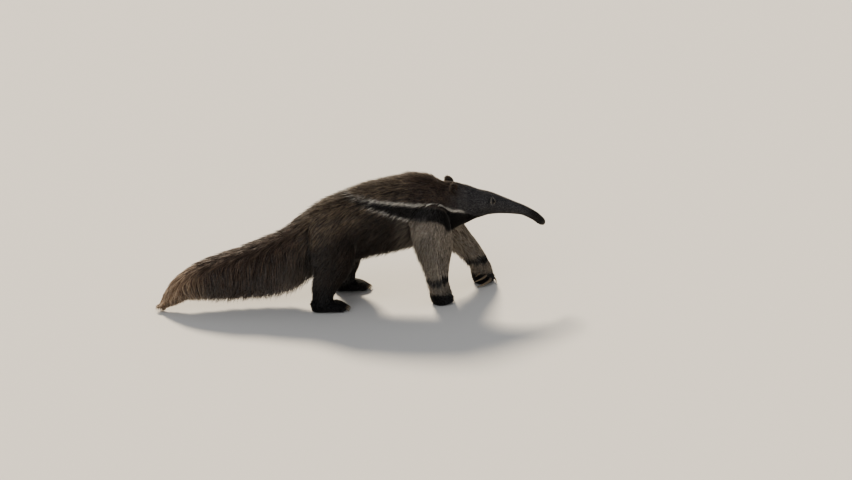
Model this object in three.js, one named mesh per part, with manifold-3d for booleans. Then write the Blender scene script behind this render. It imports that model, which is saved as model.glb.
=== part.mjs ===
// A giant anteater, life size, walking with its head low and the brush of its tail trailing behind it.
// Millimetres, +X towards the head, +Y towards the animal's left, +Z up.
import * as THREE from "three";
import { mergeVertices } from "three/addons/utils/BufferGeometryUtils.js";
import Module from "manifold-3d";

const wasm = await Module();
wasm.setup();

// Driving sizes.
const GAP = 0.3; // between nodes that touch
const FLOOR = 0; // the level that the paws rest on
const FAR = 3000; // past every part of the animal
const NAPE_X = 76; // where the head ends and the neck begins
const WITHERS_X = -14; // where the neck ends and the torso begins
const RUMP_X = -556; // where the torso ends and the tail begins
const WRIST_Z = 92; // where a foreleg ends and its paw begins
const ANKLE_Z = 62; // where a hind leg ends and its paw begins
const TRUNK_SIDES = 20;
const LIMB_SIDES = 12;
const CORE_SIDES = 16;
const EYE = {
  row: 6.84,
  angle: 25,
  inset: 4.5, // from the skin to the middle of the eyeball
  radius: 7.5,
  lids: [14, 9.6, 9.6],
  slit: [6.6, 3.8],
  slope: -0.22, // how far the line of the lids drops for its length towards the snout
  round: 10,
};
const EAR = {
  x: 90,
  z: 488,
  out: 51,
  deep: 13,
  wide: 20,
  tall: 24,
  wall: 3.4,
  hollow: 0.75, // how far out the middle of the hollow lies, as a share of the ear's depth
  hollowDeep: 1.35, // the hollow's own depth, as the same share
  splay: 40,
  lean: 26,
  tilt: 18,
  round: 10,
};
const MOUTH = {
  from: -0.35, // rows, before the first of them out past the tip of the snout
  to: 3.1,
  every: 0.5,
  low: 0.38, // how far below the centre line it runs, as a share of the snout's reach below it
  high: 1.3,
  depth: 3.5,
  ahead: 60, // how far a row lies past the tip
  out: 8,
};
const NOSTRIL = { row: 0.75, angle: 42, size: [3.4, 2.2, 2.6], round: 8 };
const TAIL_LIFT = 1; // the last hairs of the tail end this far above the floor

// The trunk from the tip of the snout to the root of the tail, out to the tips of the coat. Each row is
// the centre line's place along X and its height, the half width, how far the coat reaches above and
// below the centre line, and the depth of the coat that stands off the core there.
const TRUNK = [
  [490, 291, 8, 8, 8, 0],
  [485, 297, 14, 15, 14, 0],
  [474, 308, 17, 18, 17, 0],
  [448, 330, 18.5, 19, 18, 0],
  [400, 358, 22, 21, 21, 0],
  [350, 374, 28, 29, 28, 0],
  [300, 388, 36, 39, 38, 0],
  [250, 399, 45, 51, 51, 0],
  [200, 402, 54, 64, 65, 0],
  [150, 404, 63, 83, 86, 0],
  [100, 402, 70, 100, 100, 3],
  [50, 392, 86, 124, 118, 10],
  [0, 386, 106, 150, 147, 15],
  [-70, 382, 124, 160, 163, 19],
  [-160, 376, 132, 160, 172, 22],
  [-260, 366, 136, 149, 180, 24],
  [-360, 350, 136, 132, 180, 26],
  [-450, 331, 128, 112, 176, 26],
  [-520, 314, 108, 84, 172, 24],
  [-572, 300, 88, 60, 172, 22],
];
// The share of that depth at the side, on the back and under the belly, where the hair is longest.
const TRUNK_COAT = [0.8, 0.9, 2.2];

// The tail's brush in the same form, out to the tips of the hair that hangs to the floor.
const TAIL = [
  [-546, 302, 86, 60, 150, 20],
  [-600, 284, 84, 52, 212, 28],
  [-680, 260, 82, 46, 236, 34],
  [-760, 237, 82, 42, 222, 36],
  [-850, 210, 80, 40, 196, 36],
  [-940, 183, 76, 40, 170, 34],
  [-1020, 150, 68, 38, 138, 30],
  [-1080, 108, 56, 34, 100, 24],
  [-1122, 56, 38, 28, 50, 14],
  [-1150, 24, 14, 12, 18, 5],
];
const TAIL_COAT = [1.1, 0.5, 3.6];

// Each leg from inside the body down to the floor: the centre's x, y and z, the half width across, how
// far the leg reaches in front of and behind its centre, and the coat's depth. y is counted towards the
// leg's own side.
const FORELEGS = {
  right: [
    [-46, 50, 440, 26, 56, 58, 0],
    [-34, 78, 392, 56, 80, 84, 0],
    [-14, 100, 318, 60, 84, 86, 4],
    [-4, 112, 246, 54, 78, 78, 12],
    [6, 114, 180, 45, 56, 62, 16],
    [12, 113, 130, 38, 44, 52, 14],
    [15, 112, 84, 37, 42, 41, 2],
    [19, 112, 44, 41, 48, 40, 0],
    [22, 112, 16, 40, 44, 37, 0],
    [22, 112, -4, 31, 32, 29, 0],
  ],
  left: [
    [-20, 50, 440, 26, 56, 58, 0],
    [0, 78, 392, 56, 80, 84, 0],
    [44, 100, 322, 60, 80, 86, 4],
    [100, 110, 252, 54, 66, 76, 12],
    [158, 112, 192, 45, 50, 60, 16],
    [204, 111, 138, 38, 42, 52, 14],
    [230, 110, 88, 37, 42, 41, 2],
    [240, 110, 44, 41, 48, 40, 0],
    [243, 110, 16, 40, 44, 37, 0],
    [243, 110, -4, 31, 32, 29, 0],
  ],
};
const HINDLEGS = {
  right: [
    [-462, 50, 400, 30, 62, 56, 0],
    [-452, 82, 345, 56, 94, 84, 4],
    [-436, 104, 270, 64, 100, 90, 16],
    [-440, 114, 196, 58, 78, 82, 20],
    [-462, 116, 132, 48, 54, 62, 18],
    [-478, 116, 84, 38, 40, 46, 8],
    [-482, 116, 34, 32, 34, 34, 0],
  ],
  left: [
    [-450, 50, 400, 30, 62, 56, 0],
    [-428, 82, 345, 56, 94, 84, 4],
    [-388, 104, 270, 64, 96, 90, 16],
    [-352, 114, 196, 58, 76, 82, 20],
    [-344, 116, 132, 48, 54, 62, 18],
    [-350, 116, 84, 38, 40, 46, 8],
    [-352, 116, 34, 32, 34, 34, 0],
  ],
};
// The share of the depth at a leg's sides, in front and behind, where the hair hangs as a fringe.
const FORELEG_COAT = [0.3, 0.2, 1.6];
const HINDLEG_COAT = [0.8, 0.6, 1.5];

// A hind foot from its heel to its toes, measured from its ankle: x, the centre's height, and the same
// three sizes.
const HINDFOOT = [
  [-50, 24, 16, 16, 22],
  [-38, 26, 28, 26, 30],
  [-6, 28, 38, 32, 32],
  [34, 24, 42, 22, 28],
  [68, 19, 40, 17, 23],
  [86, 17, 26, 10, 18],
];
const KNUCKLE = { x: 34, z: 24, each: 22, back: 4, size: [20, 13, 20], round: 7 };
const TOE = { x: 82, z: 15, each: 16, back: 6, size: [20, 9, 13], round: 7 };

// Claws of a forefoot as a root, a bend and a tip, measured from the paw's middle on the floor: ahead,
// inwards, up; then the half thickness and the half width at the root. The second and third toes carry
// the great digging claws.
const FORECLAWS = {
  first: [[-14, 26, 60], [-16, 54, 60], [-38, 52, 44], 4, 3.4],
  second: [[10, 26, 46], [20, 62, 46], [-42, 60, 24], 7.5, 6],
  third: [[30, 18, 26], [42, 66, 26], [-34, 72, 4], 9, 7],
  fourth: [[40, -2, 24], [64, 14, 22], [56, 42, 4], 5.5, 4.4],
};
const FORECLAW = { places: [0, 0.35, 0.7, 1], sides: 8 };
const HINDCLAW = {
  reach: 27,
  drop: 16,
  rise: 3,
  thick: 4.4,
  wide: 3.6,
  root: 0.4, // how far ahead of the toe's middle it starts, as a share of the toe's length
  bend: 0.75, // where it bends, as a share of its reach
  places: [0, 0.55, 1],
  sides: 5,
};
const CLAW_TIP = 0.08; // the share of a claw's size that is left at its tip
const SIDES = { right: -1, left: 1 };

// A lock is flat and tapers to its tip. Its middle runs from its root, sunk in the core, to the tip on the
// outline: the places along it, its share of the coat's depth there and its share of its width.
const LOCK = {
  sink: 15,
  thick: 8,
  places: [0, 0.34, 0.66, 1],
  depths: [0, 0.45, 0.85, 1],
  widths: [0.75, 1, 0.72, 0.05],
  tipThick: 0.2, // the share of its thickness that is left at its tip
  follow: 0.35, // how much its flat turns with the surface below it
  wider: 8, // a grown lock widens this many times as far as it thickens
  higher: 2,
  soft: 16, // the height over the floor from which a lock turns along it
  shortest: 0.4, // of its run, or it is left out
};
// The rows of locks on the trunk, tail and legs. Each begins at one table row and ends at another, with a
// lock at every step. The angle is taken round the body from the right, 90 degrees being on top or in
// front; a lock falls by some degrees and runs down some table rows from its root to its tip.
const NECK_LOCKS = [{ from: 10.85, to: 11.6, every: 0.37, angle: 90, fall: 0, run: 0.8, width: 46 }];
const TORSO_LOCKS = [
  { from: 12.3, to: 18.2, every: 0.66, angle: 90, fall: 0, run: 1.3, width: 54 },
  { from: 12.5, to: 18.1, every: 1.05, angle: 60, fall: 16, run: 1.4, width: 76 },
  { from: 12.3, to: 18, every: 1.05, angle: 28, fall: 22, run: 1.4, width: 78 },
  { from: 12.6, to: 18, every: 1.05, angle: -5, fall: 28, run: 1.35, width: 78 },
  { from: 12.4, to: 18, every: 0.96, angle: -40, fall: 30, run: 1.2, width: 72 },
];
const TAIL_LOCKS = [
  { from: 0.25, to: 7.9, every: 1.05, angle: 90, fall: 0, run: 1.5, width: 54 },
  { from: 0.3, to: 7.6, every: 1.3, angle: 54, fall: 54, run: 1.6, width: 78 },
  { from: 0.6, to: 7.5, every: 1.1, angle: 12, fall: 52, run: 1.5, width: 78 },
  { from: 0.25, to: 7.4, every: 0.9, angle: -32, fall: 44, run: 1.3, width: 76 },
];
const HINDLEG_LOCKS = [
  { from: 1.8, to: 4.7, every: 1.2, angle: 262, fall: 0, run: 1.4, width: 66 },
  { from: 1.3, to: 4.6, every: 1.2, angle: 206, fall: -12, run: 1.4, width: 74 },
  { from: 1.9, to: 4.7, every: 1.2, angle: 150, fall: -12, run: 1.35, width: 70 },
];
const FORELEG_LOCKS = [
  { from: 2.6, to: 4.9, every: 0.9, angle: 270, fall: 0, run: 1.15, width: 46 },
  { from: 3, to: 4.9, every: 0.95, angle: 224, fall: -16, run: 1.1, width: 46 },
];

// No lock of a part runs past this row.
const LAST_ROW = { neck: 12.15, torso: 18.7, tail: 9, fore: 6, hind: 5.6 };
const MIDLINE = 90; // the angle of the locks on top, in front, below or behind, which aren't mirrored

// How far a lock's sizes vary to either side: its place, its length and the last row, the angles of its
// root and its tip, the tip's on the midline, and its width.
const VARY = { row: 0.12, run: 0.16, end: 0.1, angle: 5, fall: 5, midline: 16, width: 0.12 };
const RANDOM_SEED = 20;

const vector = (x, y, z) => new THREE.Vector3(x, y, z);
const UP = vector(0, 0, 1);
const FORWARD = vector(1, 0, 0);
const radians = THREE.MathUtils.degToRad;

// A seeded generator of numbers from -1 to 1 times an amount, so that every build gives the same coat.
let state = RANDOM_SEED;
function vary(amount) {
  state = (state * 1664525 + 1013904223) % 4294967296;
  return amount * (state / 2147483648 - 1);
}

// A closed three.js geometry as a solid, turned the right way round if its faces point inwards.
function solid(geometry) {
  const bare = geometry.clone();
  bare.deleteAttribute("normal");
  bare.deleteAttribute("uv");
  const merged = mergeVertices(bare, 1e-3);
  const vertProperties = new Float32Array(merged.attributes.position.array);
  const build = (triVerts) => new wasm.Manifold(new wasm.Mesh({ numProp: 3, vertProperties, triVerts }));
  const faces = new Uint32Array(merged.index.array);
  const made = build(faces);
  return made.volume() < 0 ? build(faces.reverse()) : made;
}

const join = (solids) => wasm.Manifold.union(solids);

// The largest closed surface of a solid.
function largest(made) {
  return made.decompose().reduce((best, next) => (next.volume() > best.volume() ? next : best));
}

// A block between two corners, for straight cuts.
function block(low, high) {
  const size = high.clone().sub(low);
  const middle = low.clone().add(high).multiplyScalar(0.5);
  return solid(new THREE.BoxGeometry(size.x, size.y, size.z).translate(middle.x, middle.y, middle.z));
}
const between = (x0, x1) => block(vector(x0, -FAR, -FAR), vector(x1, FAR, FAR));
const above = (z) => block(vector(-FAR, -FAR, z), vector(FAR, FAR, FAR));
const below = (z) => block(vector(-FAR, -FAR, -FAR), vector(FAR, FAR, z));

// An egg-shaped solid with its half sizes along three directions.
function ellipsoid(centre, size, round, axes = [FORWARD, vector(0, 1, 0), UP]) {
  const place = new THREE.Matrix4().makeBasis(...axes).setPosition(centre);
  return solid(new THREE.SphereGeometry(1, round, round - 4).scale(...size).applyMatrix4(place));
}

// A closed surface over rings of points, with a fan over each end.
function skinOver(rings) {
  const sides = rings[0].length;
  const points = rings.flat();
  const index = [];
  for (let r = 0; r + 1 < rings.length; r++)
    for (let i = 0; i < sides; i++) {
      const a = r * sides + i;
      const b = r * sides + ((i + 1) % sides);
      index.push(a, b, a + sides, b, b + sides, a + sides);
    }
  for (const end of [0, rings.length - 1]) {
    const middle = points.length;
    points.push(rings[end].reduce((sum, p) => sum.add(p), vector(0, 0, 0)).divideScalar(sides));
    for (let i = 0; i < sides; i++) {
      const a = end * sides + i;
      const b = end * sides + ((i + 1) % sides);
      index.push(...(end ? [a, b, middle] : [b, a, middle]));
    }
  }
  return new THREE.BufferGeometry().setFromPoints(points).setIndex(index);
}

// A stretch of the body along a smooth centre line. Its section is an oval with its own half width and its
// own reach to the front and to the back, where the front is the part of the given direction square to the
// centre line.
class Stretch {
  constructor(centres, sizes, front) {
    this.count = centres.length - 1;
    this.centre = new THREE.CatmullRomCurve3(centres, false, "catmullrom", 0.5);
    this.size = new THREE.CatmullRomCurve3(sizes, false, "catmullrom", 0.5);
    this.front = front;
  }

  // The frame at a place along the stretch, counted in rows: across, to the front and along.
  frame(row) {
    const along = this.centre.getTangent(row / this.count);
    const across = this.front.clone().cross(along).normalize();
    return { across, ahead: along.clone().cross(across).normalize(), along };
  }

  // The point at a row and an angle round it, with 90 degrees at the front, grown off the surface.
  point(row, angle, grow = 0) {
    const { across, ahead } = this.frame(row);
    const reach = this.size.getPoint(row / this.count);
    const [cos, sin] = [Math.cos(radians(angle)), Math.sin(radians(angle))];
    return this.centre
      .getPoint(row / this.count)
      .addScaledVector(across, cos * (reach.x + grow))
      .addScaledVector(ahead, sin * ((sin > 0 ? reach.y : reach.z) + grow));
  }

  // The outward direction there, from short steps over the surface.
  normal(row, angle) {
    const step = 0.02;
    const round = this.point(row, angle + 1).sub(this.point(row, angle - 1));
    const along = this.point(Math.min(row + step, this.count), angle);
    along.sub(this.point(Math.max(row - step, 0), angle));
    const out = round.cross(along).normalize();
    const away = this.point(row, angle).sub(this.centre.getPoint(row / this.count));
    return out.dot(away) < 0 ? out.negate() : out;
  }

  // The closed solid over some rows. Any growth pushes it out all round, at its two ends too.
  solid(rows, sides, grow = 0) {
    const angles = Array.from({ length: sides }, (_, i) => (360 * i) / sides);
    const rings = rows.map((row) => angles.map((angle) => this.point(row, angle, grow)));
    for (const end of [0, rings.length - 1]) {
      const { along } = this.frame(rows[end]);
      for (const p of rings[end]) p.addScaledVector(along, end ? grow : -grow);
    }
    return solid(skinOver(rings));
  }
}

// Places from one row to another in equal steps.
function steps(from, to, each) {
  const n = Math.floor((to - from) / each + 1e-6);
  return Array.from({ length: n + 1 }, (_, i) => from + i * each);
}

// Hair that would reach the floor turns along it instead, ever nearer and never through it.
function offFloor(z) {
  const height = (z - FLOOR) / LOCK.soft;
  return height < 1 ? FLOOR + LOCK.soft * Math.exp(height - 1) : z;
}

// A part of the body that carries a coat: its outline at the tips, and its core, a share of the coat's
// depth inside.
class Coated {
  constructor(centres, sizes, depths, shares, front) {
    const inside = sizes.map((size, i) => size.clone().sub(vector(...shares).multiplyScalar(depths[i])));
    this.outline = new Stretch(centres, sizes, front);
    this.core = new Stretch(centres, inside, front);
  }

  // A lock from its root to its tip, each given as a row and an angle. Any growth widens it on every side.
  lock([row, angle], [endRow, endAngle], width, grow) {
    const line = LOCK.places.map((t, i) => {
      const [r, a] = [row + t * (endRow - row), angle + t * (endAngle - angle)];
      const low = this.core.point(r, a, i ? 0 : -LOCK.sink);
      return i ? low.lerp(this.outline.point(r, a), LOCK.depths[i]) : low;
    });
    for (const p of line) p.z = offFloor(p.z);
    const rootOut = this.outline.normal(row, angle);
    const rings = line.map((middle, i) => {
      const before = line[Math.max(i - 1, 0)];
      const after = line[Math.min(i + 1, line.length - 1)];
      const along = after.clone().sub(before).normalize();
      const t = LOCK.places[i];
      const localOut = this.outline.normal(row + t * (endRow - row), angle + t * (endAngle - angle));
      const out = rootOut.clone().lerp(localOut, LOCK.follow);
      const across = along.clone().cross(out).normalize();
      const flat = across.clone().cross(along).normalize();
      const half = (width * LOCK.widths[i]) / 2 + LOCK.wider * grow;
      const thick = LOCK.thick * (1 - (1 - LOCK.tipThick) * t * t);
      const edge = (side) => middle.clone().addScaledVector(across, side * half);
      return [
        edge(1).addScaledVector(flat, -thick / 2 - grow),
        middle.clone().addScaledVector(flat, thick / 2 + LOCK.higher * grow),
        edge(-1).addScaledVector(flat, -thick / 2 - grow),
      ];
    });
    return solid(skinOver(rings));
  }

  // The root, the tip and the width of one lock of a row of locks, varied a little.
  place({ every, angle, fall, run, width }, row, last, flip) {
    const middle = Math.abs(angle) === MIDLINE;
    const start = row + vary(VARY.row * every);
    const end = Math.min(start + run * (1 + vary(VARY.run)), last - VARY.end + vary(VARY.end));
    const turn = angle + vary(VARY.angle);
    const stop = turn - (middle ? vary(VARY.midline) : fall + vary(VARY.fall));
    const side = (degrees) => (flip ? 180 - degrees : degrees);
    return { root: [start, side(turn)], tip: [end, side(stop)], width: width * (1 + vary(VARY.width)) };
  }

  // All the locks of some rows, on both sides where they aren't on the midline. One cut too short by the
  // last row is left out.
  locks(fields, last, mirror = true) {
    const made = [];
    for (const field of fields)
      for (const row of steps(field.from, field.to, field.every))
        for (const flip of mirror && Math.abs(field.angle) !== MIDLINE ? [false, true] : [false]) {
          const lock = this.place(field, row, last, flip);
          if (lock.tip[0] - lock.root[0] > LOCK.shortest * field.run) made.push(lock);
        }
    return (grow) => join(made.map(({ root, tip, width }) => this.lock(root, tip, width, grow)));
  }
}

// Coated parts from the tables: a row along X with its sizes, and a leg with its side.
const spine = (rows, shares) =>
  new Coated(
    rows.map(([x, z]) => vector(x, 0, z)),
    rows.map(([, , wide, up, down]) => vector(wide, up, down)),
    rows.map((row) => row[5]),
    shares,
    UP,
  );
const limb = (rows, shares, side) =>
  new Coated(
    rows.map(([x, y, z]) => vector(x, side * y, z)),
    rows.map(([, , , wide, front, back]) => vector(wide, front, back)),
    rows.map((row) => row[6]),
    shares,
    FORWARD,
  );

const trunk = spine(TRUNK, TRUNK_COAT);
const trunkRows = [...steps(0, 12, 0.5), ...steps(13, TRUNK.length - 1, 1)];
const trunkCore = trunk.core.solid(trunkRows, TRUNK_SIDES);
const trunkGrown = trunk.core.solid(trunkRows, TRUNK_SIDES, GAP);

// The eyes sit in sockets under two lids that leave an almond open between them.
function eyeFrame(sign) {
  const angle = sign < 0 ? EYE.angle : 180 - EYE.angle;
  const out = trunk.core.normal(EYE.row, angle);
  const slope = FORWARD.clone().addScaledVector(UP, EYE.slope).normalize();
  const width = out.clone().cross(slope).normalize();
  const centre = trunk.core.point(EYE.row, angle).addScaledVector(out, -EYE.inset);
  return { centre, out, axes: [width.clone().cross(out).normalize(), width, out] };
}
function eyeball(sign, grow = 0) {
  const { centre, axes } = eyeFrame(sign);
  return ellipsoid(centre, Array(3).fill(EYE.radius + grow), EYE.round, axes);
}
function addLids(head, sign) {
  const { centre, out, axes } = eyeFrame(sign);
  const [long, tall] = EYE.slit;
  const reach = 2 * EYE.radius;
  const outside = centre.clone().addScaledVector(out, reach);
  const almond = ellipsoid(outside, [long, tall, reach], EYE.round, axes);
  const lids = ellipsoid(centre, EYE.lids, EYE.round, axes);
  return join([head, lids]).subtract(eyeball(sign, GAP)).subtract(almond);
}

// The line of the mouth is a thin slit along both sides of the snout and round its tip, below the nostrils.
function mouthSlit() {
  const corners = [[1, -1], [1, 1], [-1, 1], [-1, -1]];
  const rings = steps(MOUTH.from, MOUTH.to, MOUTH.every).map((row) => {
    const at = Math.max(row, 0);
    const { across, ahead, along } = trunk.core.frame(at);
    const reach = trunk.core.size.getPoint(at / trunk.core.count);
    const middle = trunk.core.centre.getPoint(at / trunk.core.count);
    middle.addScaledVector(ahead, -MOUTH.low * reach.z);
    middle.addScaledVector(along, MOUTH.ahead * Math.min(row, 0));
    const half = (side) => across.clone().multiplyScalar(side * (reach.x + MOUTH.out));
    const high = (rise) => ahead.clone().multiplyScalar((rise * MOUTH.high) / 2);
    return corners.map(([side, rise]) => middle.clone().add(half(side)).add(high(rise)));
  });
  return solid(skinOver(rings)).subtract(trunk.core.solid(steps(0, 5, 1), 10, -MOUTH.depth));
}
function nostril(sign) {
  const angle = sign < 0 ? NOSTRIL.angle : 180 - NOSTRIL.angle;
  const out = trunk.core.normal(NOSTRIL.row, angle);
  const length = trunk.core.frame(NOSTRIL.row).across.clone().cross(out).normalize();
  const axes = [length, out.clone().cross(length), out];
  return ellipsoid(trunk.core.point(NOSTRIL.row, angle), NOSTRIL.size, NOSTRIL.round, axes);
}

// An ear is a small round cup that opens forwards and outwards.
function ear(sign) {
  const facing = vector(Math.cos(radians(EAR.splay)), sign * Math.sin(radians(EAR.splay)), 0);
  const tall = UP.clone().applyAxisAngle(vector(0, 1, 0), -radians(EAR.lean));
  tall.applyAxisAngle(FORWARD, -sign * radians(EAR.tilt)).normalize();
  const wide = tall.clone().cross(facing).normalize();
  const deep = wide.clone().cross(tall).normalize();
  const centre = vector(EAR.x, sign * EAR.out, EAR.z);
  const shell = ellipsoid(centre, [EAR.deep, EAR.wide, EAR.tall], EAR.round, [deep, wide, tall]);
  const middle = centre.clone().addScaledVector(deep, EAR.hollow * EAR.deep);
  const inside = [EAR.hollowDeep * EAR.deep, EAR.wide - EAR.wall, EAR.tall - EAR.wall];
  return shell.subtract(ellipsoid(middle, inside, EAR.round, [deep, wide, tall])).subtract(trunkGrown);
}

// A claw along a bend from its root to its tip, as an oval horn that thins to a point.
function claw([root, bend, tip], { thick, wide, places, sides }, grow) {
  const path = new THREE.QuadraticBezierCurve3(root, bend, tip);
  const flat = bend.clone().sub(root).cross(tip.clone().sub(bend)).normalize();
  const share = (t) => CLAW_TIP + (1 - CLAW_TIP) * Math.sqrt(1 - t);
  const sizes = places.map((t) => vector(thick * share(t), wide * share(t), wide * share(t)));
  const centres = places.map((t) => path.getPoint(t));
  const horn = new Stretch(centres, sizes, flat);
  return horn.solid(steps(0, places.length - 1, 1), sides, grow);
}

const group = new THREE.Group();
const FINISHES = {
  greyCoat: ["#77716a", 0.85, 0],
  darkCoat: ["#2b2522", 0.9, 0],
  paleCoat: ["#b3a894", 0.88, 0],
  brownCoat: ["#4a3d33", 0.9, 0],
  earSkin: ["#5c534b", 0.8, 0],
  eyeball: ["#140d09", 0.12, 0],
  horn: ["#4a4037", 0.45, 0],
};
function addNode(name, finish, made) {
  const { vertProperties, triVerts } = largest(made).getMesh();
  const geometry = new THREE.BufferGeometry();
  geometry.setAttribute("position", new THREE.BufferAttribute(vertProperties, 3));
  geometry.setIndex(new THREE.BufferAttribute(triVerts, 1));
  const [color, roughness, metalness] = FINISHES[finish];
  const mesh = new THREE.Mesh(geometry, new THREE.MeshStandardMaterial({ color, roughness, metalness }));
  mesh.name = name;
  group.add(mesh);
}

// The legs' cores come first, because the locks of the body are cut clear of them.
const LEG_KINDS = {
  fore: { tables: FORELEGS, coat: FORELEG_COAT, fields: FORELEG_LOCKS, cut: WRIST_Z, finish: "paleCoat" },
  hind: { tables: HINDLEGS, coat: HINDLEG_COAT, fields: HINDLEG_LOCKS, cut: ANKLE_Z, finish: "darkCoat" },
};
const legs = Object.entries(SIDES).flatMap(([side, sign]) =>
  Object.entries(LEG_KINDS).map(([kind, sizes]) => {
    const coated = limb(sizes.tables[side], sizes.coat, sign);
    return { kind, side, sign, coated, ...sizes };
  }),
);
for (const leg of legs) {
  const rows = [...steps(0, 4, 0.5), ...steps(5, leg.coated.core.count, 1)];
  leg.core = leg.coated.core.solid(rows, LIMB_SIDES).subtract(trunkGrown);
  leg.grown = leg.coated.core.solid(rows, LIMB_SIDES, GAP);
}
const legsGrown = join(legs.map((leg) => leg.grown));

const neckLocks = trunk.locks(NECK_LOCKS, LAST_ROW.neck);
const torsoLocks = trunk.locks(TORSO_LOCKS, LAST_ROW.torso);
const bodyLocksGrown = join([neckLocks(GAP), torsoLocks(GAP)]);

let head = trunkCore.intersect(between(NAPE_X + GAP / 2, FAR));
for (const sign of Object.values(SIDES)) head = addLids(head, sign).subtract(nostril(sign));
addNode("head", "greyCoat", head.subtract(mouthSlit()));
for (const [side, sign] of Object.entries(SIDES)) {
  addNode(`eye_${side}`, "eyeball", eyeball(sign));
  addNode(`ear_${side}`, "earSkin", ear(sign));
}
const neck = join([trunkCore, neckLocks(0).subtract(legsGrown)]);
addNode("neck", "brownCoat", neck.intersect(between(WITHERS_X + GAP / 2, NAPE_X - GAP / 2)));
const torso = join([trunkCore, torsoLocks(0).subtract(legsGrown)]);
addNode("torso", "darkCoat", torso.intersect(between(RUMP_X + GAP / 2, WITHERS_X - GAP / 2)));

const tail = spine(TAIL, TAIL_COAT);
const tailCore = tail.core.solid(steps(0, TAIL.length - 1, 1), CORE_SIDES);
const brush = join([tailCore, tail.locks(TAIL_LOCKS, LAST_ROW.tail)(0)]);
const behind = brush.intersect(between(-FAR, RUMP_X - GAP / 2));
addNode("tail", "brownCoat", behind.intersect(above(FLOOR + TAIL_LIFT)));

// A forefoot is a stump with blunt knuckles; its claws fold inwards and back beside it, clear of the floor.
function forepaw(core, at) {
  const knuckles = [-1, 0, 1].map((i) =>
    ellipsoid(
      at.clone().add(vector(KNUCKLE.x - KNUCKLE.back * Math.abs(i), i * KNUCKLE.each, KNUCKLE.z)),
      KNUCKLE.size,
      KNUCKLE.round,
    ),
  );
  return join([core.intersect(below(WRIST_Z - GAP / 2)), ...knuckles]).intersect(above(FLOOR));
}
function foreclaw(at, sign, [root, bend, tip, thick, wide], grow) {
  const place = ([ahead, inwards, up]) => at.clone().add(vector(ahead, -sign * inwards, up));
  return claw([root, bend, tip].map(place), { thick, wide, ...FORECLAW }, grow);
}

// A hind foot lies flat from its heel to five short toes, each with a claw that bends down to the floor.
function hindpaw(core, at, toes) {
  const foot = new Stretch(
    HINDFOOT.map(([x, z]) => at.clone().add(vector(x, 0, z))),
    HINDFOOT.map(([, , wide, up, down]) => vector(wide, up, down)),
    UP,
  );
  const pads = toes.map((toe) => ellipsoid(toe, TOE.size, TOE.round));
  const sole = foot.solid(steps(0, HINDFOOT.length - 1, 1), 10);
  return join([core.intersect(below(ANKLE_Z - GAP / 2)), sole, ...pads]).intersect(above(FLOOR));
}
function hindclaw(toe, grow) {
  const root = toe.clone().add(vector(HINDCLAW.root * TOE.size[0], 0, HINDCLAW.rise + 1));
  const bend = root.clone().add(vector(HINDCLAW.bend * HINDCLAW.reach, 0, HINDCLAW.rise));
  const tip = root.clone().add(vector(HINDCLAW.reach, 0, -HINDCLAW.drop));
  return claw([root, bend, tip], HINDCLAW, grow);
}

// A leg down to its wrist or ankle, with its locks cut clear of the trunk's.
function addLeg({ kind, side, sign, coated, fields, core, cut, finish }) {
  const own = fields.map((field) =>
    sign < 0 ? field : { ...field, angle: 180 - field.angle, fall: -field.fall },
  );
  const hair = coated.locks(own, LAST_ROW[kind], false)(0);
  const clear = hair.subtract(trunkGrown).subtract(bodyLocksGrown);
  addNode(`${kind}leg_${side}`, finish, join([core, clear]).intersect(above(cut + GAP / 2)));
}
function addForefoot({ side, sign, coated, core }) {
  const end = coated.core.centre.getPoint(8 / coated.core.count); // the row that stands on the floor
  const at = vector(end.x, end.y, FLOOR);
  const sockets = Object.values(FORECLAWS).map((sizes) => foreclaw(at, sign, sizes, GAP));
  addNode(`forepaw_${side}`, "darkCoat", forepaw(core, at).subtract(join(sockets)));
  for (const [toe, sizes] of Object.entries(FORECLAWS))
    addNode(`foreclaw_${side}_${toe}`, "horn", foreclaw(at, sign, sizes, 0));
}
function addHindfoot({ side, coated, core }) {
  const end = coated.core.centre.getPoint(1);
  const at = vector(end.x, end.y, FLOOR);
  const toes = [-2, -1, 0, 1, 2].map((i) =>
    at.clone().add(vector(TOE.x - TOE.back * Math.abs(i), i * TOE.each, TOE.z)),
  );
  const sockets = toes.map((toe) => hindclaw(toe, GAP));
  addNode(`hindpaw_${side}`, "darkCoat", hindpaw(core, at, toes).subtract(join(sockets)));
  toes.forEach((toe, i) => addNode(`hindclaw_${side}_${i + 1}`, "horn", hindclaw(toe, 0)));
}
for (const leg of legs) {
  addLeg(leg);
  if (leg.kind === "fore") addForefoot(leg);
  else addHindfoot(leg);
}

// The origin is on the floor under the middle of the whole.
const whole = new THREE.Box3().setFromObject(group);
const middle = whole.getCenter(vector(0, 0, 0));
group.position.set(-middle.x, -middle.y, -whole.min.z);

export default group;
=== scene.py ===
"""A giant anteater, life size, walking with its head low and the brush of its tail trailing behind it.

One hide runs from the snout to the tail and down to the paws. Ears, eyes and claws are pieces of their own, and the
coat is laid over the hide as thin tapered tufts that follow the lie of the hair. Shapes are worked out in millimetres
from the same tables as the solids, with +X towards the head, +Y towards the animal's left and +Z up, and are put into
the meshes in metres.
"""

import logging
from dataclasses import dataclass
from enum import Enum
from typing import Callable, Sequence

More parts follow.
